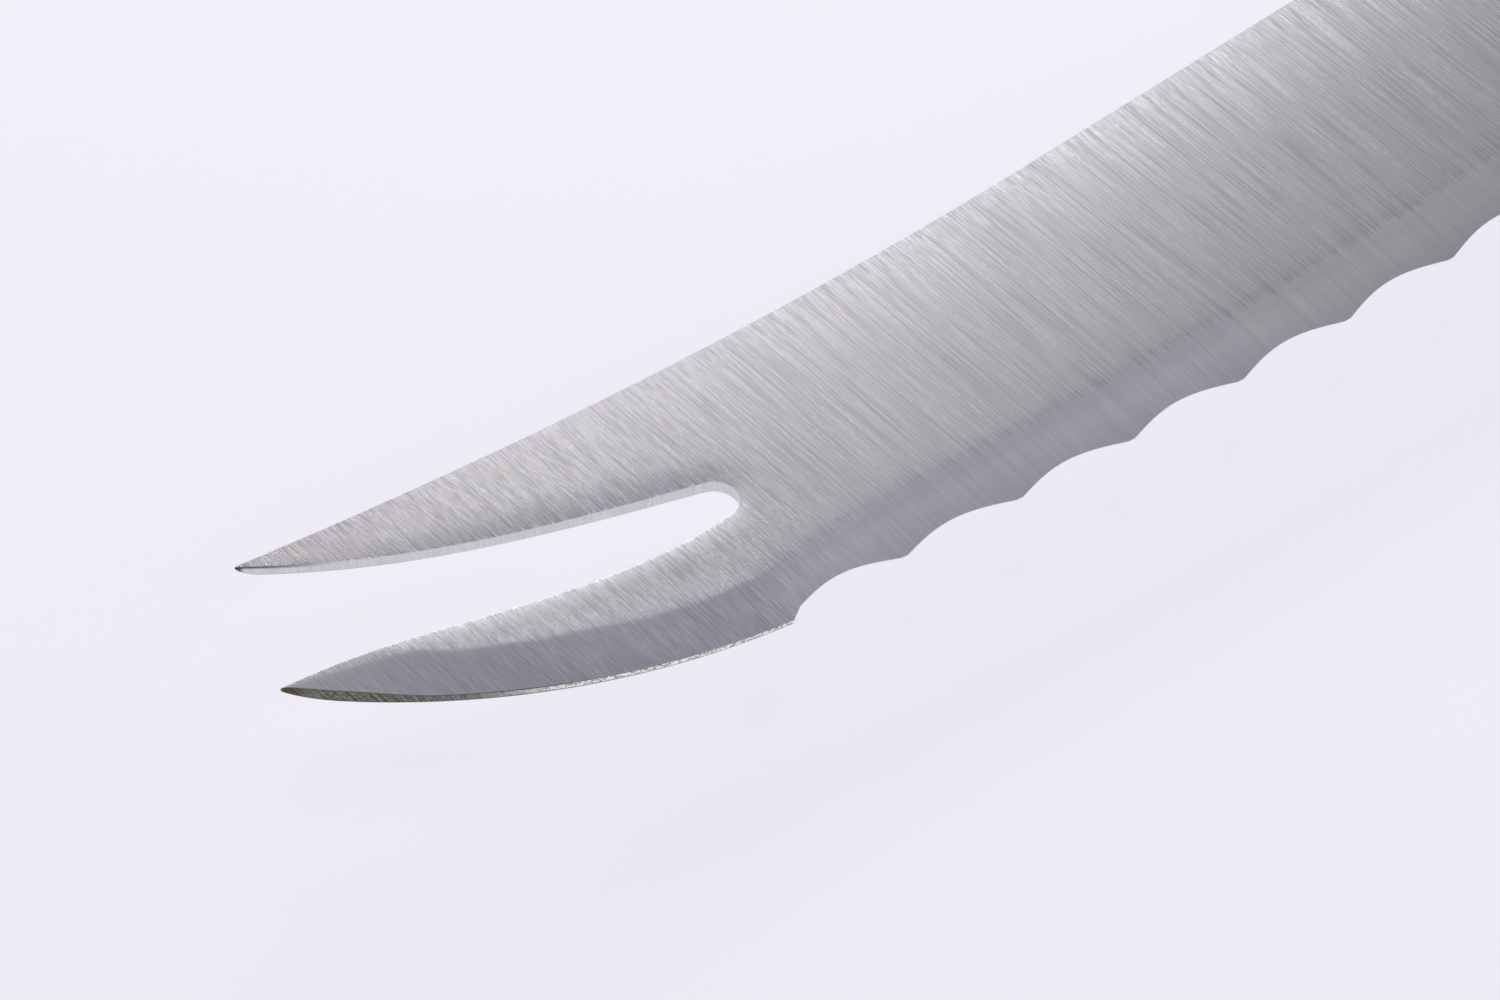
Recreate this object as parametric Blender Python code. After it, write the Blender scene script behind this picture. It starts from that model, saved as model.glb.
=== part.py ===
"""Slicing knife with a scalloped edge, a forked tip and a riveted full-tang handle.

Every size is in metres. The knife lies on its right side: +Z is the left face of
the blade, -X is the tip, +Y is the spine. The origin is the middle of the flat
lower side of the handle, so the handle rests on Z = 0.
"""
import math

import bmesh
import bpy
from mathutils import Vector

# Clearance between neighbouring pieces
GAP = 0.0003

# Blade blank
BLADE_LENGTH = 0.200            # heel to the tip of the lower prong
BLADE_HEIGHT = 0.0329           # spine to the line of the teeth, where both run straight
BLADE_THICKNESS = 0.0015
SPINE_RADIUS = 0.432            # the front of the spine sweeps up on this arc
SPINE_RISE_LENGTH = 0.0901      # tip to where the spine starts to rise
EDGE_RADIUS = 0.627             # the line of the teeth rises on this arc
EDGE_RISE_LENGTH = 0.1259       # tip to where the line of the teeth starts to rise

# Grinding of the blade
TIP_THICKNESS = 0.0010          # the blade thins towards its tips
TAPER_LENGTH = 0.057            # tip to where the thinning starts
BEVEL_WIDTH = 0.0062            # ground band along the edge, on both faces
EDGE_THICKNESS = 0.0005         # what the band leaves along the line of the teeth
TIP_EDGE_THICKNESS = 0.0009     # what the band leaves at the tip of the lower prong

# Scallops, ground from the right face
SCALLOP_PITCH = 0.0120
SCALLOP_DEPTH = 0.00125
TOOTH_FLAT = 0.0007
SCALLOP_GRIND_ANGLE = 20.0      # degrees between the ground facet and the blade
PLAIN_HEEL = 0.006              # least length of plain edge in front of the heel

# Forked tip
PRONG_BELLY_LENGTH = 0.0382     # tip of the lower prong to its corner at the first scallop
BELLY_RADIUS = 0.0660           # the lower prong's unsharpened belly
BELLY_DROP = 0.0010             # how far its corner stands below the line of the teeth
CORNER_STEP = 0.00135           # length of the steep flank behind that corner
LOWER_TIP_DROP = 0.0054         # straight spine line to the tip of the lower prong
PRONG_STAGGER = 0.0062          # how much shorter the upper prong is
FORK_DEPTH = 0.0443             # tip of the lower prong to the end of the slot
SLOT_END_RADIUS = 0.0023
SLOT_END_DROP = 0.0129          # straight spine line to the middle of the slot's round end
UPPER_EDGE_ANGLES = (19.8, 41.0)    # degrees: at the slot's end and at the upper tip
UPPER_EDGE_PULLS = (0.0147, 0.0145)
LOWER_EDGE_ANGLES = (-2.1, 6.9)     # degrees: at the slot's end and at the lower tip
LOWER_EDGE_PULLS = (0.0153, 0.0137)

# Heel and handle
HEEL_CLEARANCE = 0.004          # heel to the front of the scales
CHOIL_RADIUS = 0.003            # rounds the corner where the heel meets the tang
HEEL_DRAFT = 0.0003             # how far the heel leans over its height
HANDLE_LENGTH = 0.120
HANDLE_THICKNESS = 0.018        # across both scales and the tang
HANDLE_TOP = 0.015              # origin to the line that the spine and the handle share
HANDLE_EDGE_ROUND = 0.0035
BUTT_ROUND = 0.009
BUTT_DROP = 0.0045              # how far the top line falls towards the butt
FRONT_DEPTH = 0.0265
NECK_DEPTH = 0.0243             # narrow place for the first finger
NECK_SETBACK = 0.022            # front of the scales to the neck
PALM_DEPTH = 0.0268             # swell in the palm
PALM_SETBACK = 0.056            # front of the scales to the swell
WAIST_DEPTH = 0.0240            # narrow place for the last finger
WAIST_TO_BUTT = 0.032
BUTT_DEPTH = 0.0285

# Two-part rivets
RIVET_SPACING = 0.040
FRONT_RIVET_SETBACK = 0.012     # front of the scales to the first rivet
RIVET_DROP = 0.0130             # top line of the handle to the rivets
HEAD_RADIUS = 0.0040
HEAD_HEIGHT = 0.0022
SHANK_RADIUS = 0.0016
BARREL_WALL = 0.0008

# Fineness of the solids
BLADE_STEP = 0.0035             # distance between the blade's cross-sections
SCALLOP_SIDES = 12
CURVE_SIDES = 16
CHOIL_SIDES = 8
FRONT_SIDES = 8                 # rounded front end of the scales
GRIP_SIDES = 32                 # between the handle's two rounded ends
RIM_SIDES = 5
ROUND_SIDES = 32
OVERRUN = 0.0016                # how far cutters and the blank pass what they cut
SLOT_OVERRUN = 0.0064           # how far the slot's cutter passes the tips
CUTTER_DEPTH = 0.0096           # how far the scallops' cutter reaches below the teeth
SHARP_ANGLE = 30.0              # degrees: round faces meeting at less are shaded smooth

HANDLE_FRONT_X = -HANDLE_LENGTH / 2
BUTT_X = HANDLE_LENGTH / 2
HEEL_X = HANDLE_FRONT_X - HEEL_CLEARANCE
TIP_X = HEEL_X - BLADE_LENGTH
CORNER_X = TIP_X + PRONG_BELLY_LENGTH
MID_Z = HANDLE_THICKNESS / 2
BARREL_BORE = SHANK_RADIUS + GAP
BARREL_RADIUS = BARREL_BORE + BARREL_WALL
RIVET_NAMES = ("front", "middle", "rear")


def clear_scene():
    """Remove every object of the open scene."""
    for item in list(bpy.data.objects):
        bpy.data.objects.remove(item, do_unlink=True)


def make_material(name, colour, metallic, roughness):
    """Return a Principled material."""
    material = bpy.data.materials.new(name)
    material.use_nodes = True
    shader = material.node_tree.nodes["Principled BSDF"]
    shader.inputs["Base Color"].default_value = (*colour, 1.0)
    shader.inputs["Metallic"].default_value = metallic
    shader.inputs["Roughness"].default_value = roughness
    material.diffuse_color = (*colour, 1.0)
    return material


def make_object(name, mesh_data, material=None):
    """Turn a bmesh into a scene object and free the bmesh."""
    bmesh.ops.recalc_face_normals(mesh_data, faces=mesh_data.faces[:])
    mesh = bpy.data.meshes.new(name)
    mesh_data.to_mesh(mesh)
    mesh_data.free()
    item = bpy.data.objects.new(name, mesh)
    bpy.context.collection.objects.link(item)
    if material is not None:
        mesh.materials.append(material)
    return item


def make_cutter(name, mesh_data):
    """Turn a bmesh into a hidden cutter."""
    item = make_object(name, mesh_data)
    item.display_type = "WIRE"
    item.hide_render = True
    return item


def cut(item, cutter):
    """Subtract a cutter from an object with a live Boolean modifier."""
    modifier = item.modifiers.new(cutter.name, "BOOLEAN")
    modifier.operation = "DIFFERENCE"
    modifier.solver = "EXACT"
    modifier.object = cutter


def arc_drop(run, radius):
    """Return how far an arc has left its tangent after a run along it."""
    run = max(0.0, min(run, radius))
    return radius - math.sqrt(radius * radius - run * run)


def spine_y(x):
    """Return the height of the spine at x."""
    return HANDLE_TOP + arc_drop(TIP_X + SPINE_RISE_LENGTH - x, SPINE_RADIUS)


def teeth_y(x):
    """Return the height of the line of the teeth at x."""
    return HANDLE_TOP - BLADE_HEIGHT + arc_drop(TIP_X + EDGE_RISE_LENGTH - x, EDGE_RADIUS)


def belly_centre():
    """Return the centre of the arc from the lower prong's tip to its corner."""
    tip = Vector((TIP_X, HANDLE_TOP - LOWER_TIP_DROP))
    corner = Vector((CORNER_X, teeth_y(CORNER_X) - BELLY_DROP))
    chord = corner - tip
    reach = math.sqrt(BELLY_RADIUS ** 2 - (chord.length / 2) ** 2)
    upward = Vector((-chord.y, chord.x)).normalized()
    return (tip + corner) / 2 + upward * reach


def blank_low_y(x):
    """Return the lower outline of the blade blank at x, before the scallops."""
    if x >= CORNER_X:
        return teeth_y(x) - BELLY_DROP
    centre = belly_centre()
    return centre.y - math.sqrt(BELLY_RADIUS ** 2 - (x - centre.x) ** 2)


def belly_share(x):
    """Return 0 behind the lower prong's corner, rising to 1 at its tip."""
    return max(0.0, min(1.0, (CORNER_X - x) / PRONG_BELLY_LENGTH))


def band_edge_y(x):
    """Return the line that the ground band is measured from at x."""
    return blank_low_y(x) + BELLY_DROP * (1 - belly_share(x))


def ground_line_y(x):
    """Return where the ground band along the edge ends at x."""
    slope = (band_edge_y(x + GAP) - band_edge_y(x - GAP)) / (2 * GAP)
    return band_edge_y(x) + BEVEL_WIDTH * math.hypot(1.0, slope)


def half_thickness(x):
    """Return half the thickness of the blade at x, above the ground band."""
    share = max(0.0, min(1.0, (TIP_X + TAPER_LENGTH - x) / TAPER_LENGTH))
    return (BLADE_THICKNESS + (TIP_THICKNESS - BLADE_THICKNESS) * share) / 2


def half_edge(x):
    """Return half the thickness that the ground band leaves at the edge at x."""
    return (EDGE_THICKNESS + (TIP_EDGE_THICKNESS - EDGE_THICKNESS) * belly_share(x)) / 2


def handle_top_y(x):
    """Return the height of the handle's top line at x."""
    share = max(0.0, x / BUTT_X)
    return HANDLE_TOP - BUTT_DROP * share * share


def handle_depth(x):
    """Return the depth of the handle at x, smoothly between its swells and narrow places."""
    run = x - HANDLE_FRONT_X
    stations = (
        (0, FRONT_DEPTH),
        (NECK_SETBACK, NECK_DEPTH),
        (PALM_SETBACK, PALM_DEPTH),
        (HANDLE_LENGTH - WAIST_TO_BUTT, WAIST_DEPTH),
        (HANDLE_LENGTH, BUTT_DEPTH),
    )
    last = len(stations) - 2
    index = max(i for i in range(last + 1) if i == 0 or stations[i][0] <= run)
    slopes = []
    for near in (index, index + 1):
        before = stations[max(0, near - 1)]
        after = stations[min(last + 1, near + 1)]
        slopes.append((after[1] - before[1]) / (after[0] - before[0]))
    start, end = stations[index], stations[index + 1]
    span = end[0] - start[0]
    t = (run - start[0]) / span
    return (
        (2 * t ** 3 - 3 * t ** 2 + 1) * start[1]
        + (t ** 3 - 2 * t ** 2 + t) * span * slopes[0]
        + (3 * t ** 2 - 2 * t ** 3) * end[1]
        + (t ** 3 - t ** 2) * span * slopes[1]
    )


def handle_limits(x):
    """Return the top and the bottom of the handle's outline at x."""
    top = handle_top_y(x)
    bottom = top - handle_depth(x)
    past = max(0.0, x - (BUTT_X - BUTT_ROUND)) / BUTT_ROUND
    share = math.sqrt(max(0.0, 1.0 - past * past))
    middle = (top + bottom) / 2
    return middle + (top - middle) * share, middle + (bottom - middle) * share


def handle_stations():
    """Return the x of the handle's cross-sections, closer together at its ends."""
    stations = []
    for i in range(FRONT_SIDES):
        angle = math.radians(90) * i / FRONT_SIDES
        stations.append(HANDLE_FRONT_X + HANDLE_EDGE_ROUND * (1 - math.cos(angle)))
    start, straight = HANDLE_FRONT_X + HANDLE_EDGE_ROUND, BUTT_X - BUTT_ROUND
    for i in range(GRIP_SIDES):
        stations.append(start + (straight - start) * i / GRIP_SIDES)
    for i in range(CURVE_SIDES):
        stations.append(straight + BUTT_ROUND * math.sin(math.radians(90) * i / CURVE_SIDES))
    return stations


def blade_stations():
    """Return the x of the blade's cross-sections, from past the tip to the heel."""
    start = TIP_X - OVERRUN
    count = math.ceil((HEEL_X - start) / BLADE_STEP)
    stations = [start + (HEEL_X - start) * i / count for i in range(count + 1)]
    return sorted(stations + [CORNER_X])


def blade_sections():
    """Return the cross-sections of blade and tang as (x, top, line, bottom, half, edge)."""
    sections = []
    for x in blade_stations():
        top, low = spine_y(x), blank_low_y(x)
        slope = (half_thickness(x) - half_edge(x)) / BEVEL_WIDTH
        edge = half_edge(x) - slope * (band_edge_y(x) - low)
        line = min(ground_line_y(x), top - OVERRUN)
        sections.append((x, top, line, low, half_thickness(x), edge))
    half = BLADE_THICKNESS / 2
    tang_low = handle_limits(HANDLE_FRONT_X)[1]
    choil = min(CHOIL_RADIUS, HEEL_CLEARANCE - HEEL_DRAFT - GAP)
    for i in range(CHOIL_SIDES + 1):
        angle = math.radians(90) * i / CHOIL_SIDES
        x = HEEL_X + HEEL_DRAFT + choil * (1 - math.cos(angle))
        low = tang_low - choil * (1 - math.sin(angle))
        sections.append((x, HANDLE_TOP, (HANDLE_TOP + low) / 2, low, half, half))
    for x in handle_stations():
        top, low = handle_limits(x)
        sections.append((x, top, (top + low) / 2, low, half, half))
    return sections


def make_blade(material):
    """Loft the blank and tang, then cut the slot, the scallops and the rivet holes."""
    rings = []
    for x, top, line, low, half, edge in blade_sections():
        corners = ((top, half), (line, half), (low, edge), (low, -edge), (line, -half), (top, -half))
        rings.append([(x, y, MID_Z + z) for y, z in corners])
    mesh_data = loft(rings)
    blade = make_object("blade", mesh_data, material)
    cut(blade, make_slot_cutter())
    cut(blade, make_scallop_cutter())
    for name, x in zip(RIVET_NAMES, rivet_places()):
        cut(blade, make_turned_cutter(name + "_tang_hole", x, tang_hole_profile()))


def bezier(start, start_pull, end_pull, end, count):
    """Return points on a cubic curve."""
    points = []
    for i in range(count + 1):
        t = i / count
        s = 1 - t
        point = start * s ** 3 + start_pull * 3 * s * s * t + end_pull * 3 * s * t * t + end * t ** 3
        points.append(point)
    return points


def heading(degrees, sign=1):
    """Return the direction that runs towards the tip and rises by an angle."""
    angle = math.radians(degrees)
    return Vector((-math.cos(angle), sign * math.sin(angle)))


def slot_end_centre():
    """Return the middle of the slot's round end."""
    return Vector((TIP_X + FORK_DEPTH - SLOT_END_RADIUS, HANDLE_TOP - SLOT_END_DROP))


def slot_edge(angles, pulls, tip, side):
    """Return one edge of the slot, from its round end towards a tip and past it.

    side is 1 for the upper edge and -1 for the lower one.
    """
    centre = slot_end_centre()
    along, arriving = heading(angles[0]), heading(angles[1])
    outward = Vector((along.y, -along.x)) * side
    start = centre + outward * SLOT_END_RADIUS
    points = bezier(start, start + along * pulls[0], tip - arriving * pulls[1], tip, CURVE_SIDES)
    return points + [tip + arriving * SLOT_OVERRUN]


def slot_outline():
    """Return the outline of the slot, open past both tips."""
    upper_x = TIP_X + PRONG_STAGGER
    upper_tip = Vector((upper_x, spine_y(upper_x)))
    lower_tip = Vector((TIP_X, HANDLE_TOP - LOWER_TIP_DROP))
    upper = slot_edge(UPPER_EDGE_ANGLES, UPPER_EDGE_PULLS, upper_tip, 1)
    lower = slot_edge(LOWER_EDGE_ANGLES, LOWER_EDGE_PULLS, lower_tip, -1)
    centre = slot_end_centre()
    first = math.atan2(*(lower[0] - centre).yx)
    last = math.atan2(*(upper[0] - centre).yx)
    end = []
    for i in range(1, CURVE_SIDES):
        angle = first + (last - first) * i / CURVE_SIDES
        end.append(centre + Vector((math.cos(angle), math.sin(angle))) * SLOT_END_RADIUS)
    past = Vector((min(upper[-1].x, lower[-1].x) - OVERRUN, upper[-1].y))
    return upper[::-1] + end[::-1] + lower + [Vector((past.x, lower[-1].y)), past]


def make_slot_cutter():
    """Make the cutter of the slot between the prongs."""
    return make_cutter("slot", prism(slot_outline(), 0, HANDLE_THICKNESS))


def teeth_outline():
    """Return the outline that the scallops leave, closed below the blade."""
    grind = math.tan(math.radians(SCALLOP_GRIND_ANGLE))
    band_slope = (BLADE_THICKNESS - EDGE_THICKNESS) / 2 / BEVEL_WIDTH
    depth = SCALLOP_DEPTH * (1 + band_slope / grind)
    count = math.floor((HEEL_X - PLAIN_HEEL - CORNER_X) / SCALLOP_PITCH)
    corner = Vector((CORNER_X, blank_low_y(CORNER_X)))
    flank_end = Vector((CORNER_X + CORNER_STEP, teeth_y(CORNER_X + CORNER_STEP)))
    points = [corner + corner - flank_end]
    for k in range(count):
        left = CORNER_X + k * SCALLOP_PITCH + (TOOTH_FLAT / 2 if k else CORNER_STEP)
        right = CORNER_X + (k + 1) * SCALLOP_PITCH - TOOTH_FLAT / 2
        for i in range(SCALLOP_SIDES + 1):
            x = left + (right - left) * i / SCALLOP_SIDES
            rise = depth * math.sin(math.pi * i / SCALLOP_SIDES)
            points.append(Vector((x, teeth_y(x) + rise)))
    heel = HEEL_X + OVERRUN
    points.append(Vector((heel, teeth_y(heel))))
    floor = HANDLE_TOP - BLADE_HEIGHT - CUTTER_DEPTH
    points.append(Vector((heel, floor)))
    points.append(Vector((points[0].x, floor)))
    return points


def make_scallop_cutter():
    """Make the cutter of all scallops, which leans so that the right face is ground away."""
    lean = 1 / math.tan(math.radians(SCALLOP_GRIND_ANGLE))
    outline = teeth_outline()
    rings = []
    for z in (-BLADE_THICKNESS, BLADE_THICKNESS):
        shift = (EDGE_THICKNESS / 2 - z) * lean
        rings.append([(point.x, point.y + shift, MID_Z + z) for point in outline])
    mesh_data = loft(rings)
    return make_cutter("scallops", mesh_data)


def loft(rings):
    """Return a bmesh of closed rings of points, joined in order and capped."""
    mesh_data = bmesh.new()
    loops = [[mesh_data.verts.new(point) for point in ring] for ring in rings]
    for loop, following in zip(loops, loops[1:]):
        for i in range(len(loop)):
            j = (i + 1) % len(loop)
            mesh_data.faces.new((loop[i], loop[j], following[j], following[i]))
    mesh_data.faces.new(loops[0])
    mesh_data.faces.new(loops[-1])
    return mesh_data


def prism(outline, low, high):
    """Return a bmesh of an outline in XY extruded from one height to another."""
    mesh_data = bmesh.new()
    face = mesh_data.faces.new([mesh_data.verts.new((x, y, low)) for x, y in outline])
    extruded = bmesh.ops.extrude_face_region(mesh_data, geom=[face])
    raised = [v for v in extruded["geom"] if isinstance(v, bmesh.types.BMVert)]
    bmesh.ops.translate(mesh_data, verts=raised, vec=(0, 0, high - low))
    return mesh_data


def turned(profile):
    """Return a bmesh of a profile of (radius, z) spun about Z."""
    mesh_data = bmesh.new()
    verts = [mesh_data.verts.new((radius, 0, z)) for radius, z in profile]
    edges = [mesh_data.edges.new(pair) for pair in zip(verts, verts[1:])]
    bmesh.ops.spin(
        mesh_data,
        geom=verts + edges,
        cent=(0, 0, 0),
        axis=(0, 0, 1),
        angle=math.tau,
        steps=ROUND_SIDES,
        use_merge=True,
    )
    bmesh.ops.remove_doubles(mesh_data, verts=mesh_data.verts[:], dist=GAP / 100)
    return mesh_data


def rivet_places():
    """Return the x of the three rivets."""
    first = HANDLE_FRONT_X + FRONT_RIVET_SETBACK
    return [first + i * RIVET_SPACING for i in range(len(RIVET_NAMES))]


def rivet_y(x):
    """Return the height of a rivet, which follows the handle's top line."""
    return handle_top_y(x) - RIVET_DROP


def make_turned_cutter(name, x, profile):
    """Make a cutter turned about a rivet's axis."""
    cutter = make_cutter(name, turned(profile))
    cutter.location = (x, rivet_y(x), MID_Z)
    return cutter


def tang_hole_profile():
    """Return the profile of a rivet's hole through the tang."""
    radius, half = BARREL_RADIUS + GAP, BLADE_THICKNESS
    return [(0, -half), (radius, -half), (radius, half), (0, half)]


def scale_hole_profile(side):
    """Return the profile of a rivet's hole through a scale, with the recess for its head."""
    bore, recess = BARREL_RADIUS + GAP, HEAD_RADIUS + GAP
    seat = side * (HANDLE_THICKNESS / 2 - HEAD_HEIGHT - GAP)
    past = side * (HANDLE_THICKNESS / 2 + OVERRUN)
    return [(0, 0), (bore, 0), (bore, seat), (recess, seat), (recess, past), (0, past)]


def scale_section(x, side):
    """Return the cross-section of a scale at x: flat inside and outside, round at its rims."""
    top, bottom = handle_limits(x)
    inner = BLADE_THICKNESS / 2 + GAP
    from_end = min(x - HANDLE_FRONT_X, BUTT_X - x)
    crown = HANDLE_THICKNESS / 2 - arc_drop(HANDLE_EDGE_ROUND - from_end, HANDLE_EDGE_ROUND)
    round_off = min(HANDLE_EDGE_ROUND, (top - bottom) / 3, crown - inner - GAP)
    arc = []
    for i in range(RIM_SIDES + 1):
        angle = math.radians(90) * i / RIM_SIDES
        arc.append((round_off * (1 - math.cos(angle)), crown - round_off * (1 - math.sin(angle))))
    lower = [(bottom, inner)] + [(bottom + inset, z) for inset, z in arc]
    upper = [(top - inset, z) for inset, z in reversed(arc)] + [(top, inner)]
    return [(x, y, MID_Z + side * z) for y, z in lower + upper]


def make_scale(name, side, material):
    """Make one handle scale; side is 1 for the upper, left one and -1 for the lower."""
    scale = make_object(name, loft([scale_section(x, side) for x in handle_stations()]), material)
    for rivet, x in zip(RIVET_NAMES, rivet_places()):
        cut(scale, make_turned_cutter(f"{rivet}_{name}_hole", x, scale_hole_profile(side)))


def make_rivet(name, x, material):
    """Make the shank half and the barrel half of one rivet."""
    top = HANDLE_THICKNESS
    shank_end = HEAD_HEIGHT + GAP
    shank = turned([
        (0, shank_end),
        (SHANK_RADIUS, shank_end),
        (SHANK_RADIUS, top - HEAD_HEIGHT),
        (HEAD_RADIUS, top - HEAD_HEIGHT),
        (HEAD_RADIUS, top),
        (0, top),
    ])
    barrel_end = top - HEAD_HEIGHT - GAP
    barrel = turned([
        (0, 0),
        (HEAD_RADIUS, 0),
        (HEAD_RADIUS, HEAD_HEIGHT),
        (BARREL_RADIUS, HEAD_HEIGHT),
        (BARREL_RADIUS, barrel_end),
        (BARREL_BORE, barrel_end),
        (BARREL_BORE, HEAD_HEIGHT),
        (0, HEAD_HEIGHT),
    ])
    for part, mesh_data in (("shank", shank), ("barrel", barrel)):
        half = make_object(f"{name}_rivet_{part}", mesh_data, material)
        half.location = (x, rivet_y(x), 0)
        half.data.shade_smooth()
        half.data.set_sharp_from_angle(angle=math.radians(SHARP_ANGLE))


def main():
    """Build the knife."""
    clear_scene()
    steel = make_material("brushed_steel", (0.60, 0.60, 0.62), 1.0, 0.32)
    wood = make_material("handle_wood", (0.16, 0.075, 0.035), 0.0, 0.45)
    rivet_steel = make_material("rivet_steel", (0.66, 0.66, 0.67), 1.0, 0.28)
    make_blade(steel)
    make_scale("left_scale", 1, wood)
    make_scale("right_scale", -1, wood)
    for name, x in zip(RIVET_NAMES, rivet_places()):
        make_rivet(name, x, rivet_steel)


main()
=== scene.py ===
"""Looks of the slicing knife: its brushed forked blade, its wooden handle and its rivets.

The knife lies on its right side, as the frame has it: -X is the tip, +Y the spine and
+Z the left face of the blade. Every size is in metres and every angle in degrees.
"""
from __future__ import annotations

import logging
import math
from dataclasses import dataclass, field
from enum import Enum
from typing import Any, Callable, Iterable, Sequence

import bmesh
import bpy
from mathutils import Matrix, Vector
from mathutils.bvhtree import BVHTree

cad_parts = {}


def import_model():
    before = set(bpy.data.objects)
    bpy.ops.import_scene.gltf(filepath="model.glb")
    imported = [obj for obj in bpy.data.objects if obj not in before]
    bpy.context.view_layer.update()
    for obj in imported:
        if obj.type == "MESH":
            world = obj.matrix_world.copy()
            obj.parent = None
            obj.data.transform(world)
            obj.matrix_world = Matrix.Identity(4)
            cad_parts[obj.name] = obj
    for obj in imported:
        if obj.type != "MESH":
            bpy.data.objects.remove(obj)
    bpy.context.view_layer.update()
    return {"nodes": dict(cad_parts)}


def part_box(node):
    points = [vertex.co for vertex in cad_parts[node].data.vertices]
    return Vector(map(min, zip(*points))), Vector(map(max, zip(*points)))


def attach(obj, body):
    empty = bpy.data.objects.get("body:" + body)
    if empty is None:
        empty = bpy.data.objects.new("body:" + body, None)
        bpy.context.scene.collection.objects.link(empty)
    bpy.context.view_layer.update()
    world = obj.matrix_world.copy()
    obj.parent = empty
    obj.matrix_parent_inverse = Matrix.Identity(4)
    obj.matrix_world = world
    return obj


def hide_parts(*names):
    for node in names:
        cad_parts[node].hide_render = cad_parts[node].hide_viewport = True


LOG = logging.getLogger("slicing_knife")
BODY = "root"
BRUSH_MAP = "brush"
MERGE_DISTANCE = 1e-6
PER_MILLIMETRE = 1000
MIDDLE = 0.5
HALVINGS = 40
QUARTER_TURN = math.radians(90)

Colour = tuple[float, float, float]
Point = tuple[float, float, float]
Span = tuple[float, float]
Outline = list[tuple[float, float]]
Wire = bpy.types.NodeSocket
Shape = bmesh.types.BMesh
Test = Callable[[Any], bool]
Act = Callable[[], Any]

WHITE: Colour = (1.0, 1.0, 1.0)
FULL: Span = (0.0, 1.0)
EMPTYING: Span = (1.0, 0.0)


class Face(Enum):
    """The two flat sides of the knife, by the sign of their height."""

    LEFT = 1
    RIGHT = -1


class RivetHalf(Enum):
    """The two halves of a compression rivet."""

    SHANK = "shank"
    BARREL = "barrel"


class BladeZone(Enum):
    """The finishes of the blade, by their material slot."""

    FACE = 0
    WALL = 1
    BELLY = 2


def blend_between(low: float, high: float, share: float) -> float:
    """Return the value a share of the way from low to high."""
    return low + (high - low) * share


def clamp_share(value: float) -> float:
    """Return the value, held between 0 and 1."""
    return max(0.0, min(1.0, value))


def ease(share: float) -> float:
    """Return a share that starts and ends gently."""
    return share * share * (3 - 2 * share)


def all_at(verts: Iterable[Any], level: float, reach: float = MERGE_DISTANCE) -> bool:
    """Return whether all the vertices lie at a height, or within reach of it."""
    return all(abs(vert.co.z - level) < reach for vert in verts)


def extrude(rise: float) -> None:
    """Extrude what is selected straight up, or down by a negative rise."""
    bpy.ops.mesh.extrude_region_move(TRANSFORM_OT_translate={"value": (0.0, 0.0, rise)})


def heading(azimuth: float, elevation: float) -> Vector:
    """Return the unit vector at an azimuth from +Y towards +X and an elevation."""
    around = math.radians(azimuth)
    up = math.radians(elevation)
    level = math.cos(up)
    return Vector((math.sin(around) * level, math.cos(around) * level, math.sin(up)))


def arc_drop(run: float, radius: float) -> float:
    """Return how far an arc has left its tangent after a run along it.

    Args:
        run: distance along the tangent; a negative one counts as 0.
        radius: radius of the arc.

    Returns:
        The distance from the tangent to the arc.
    """
    run = max(0.0, min(run, radius))
    return radius - math.sqrt(radius * radius - run * run)


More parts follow.
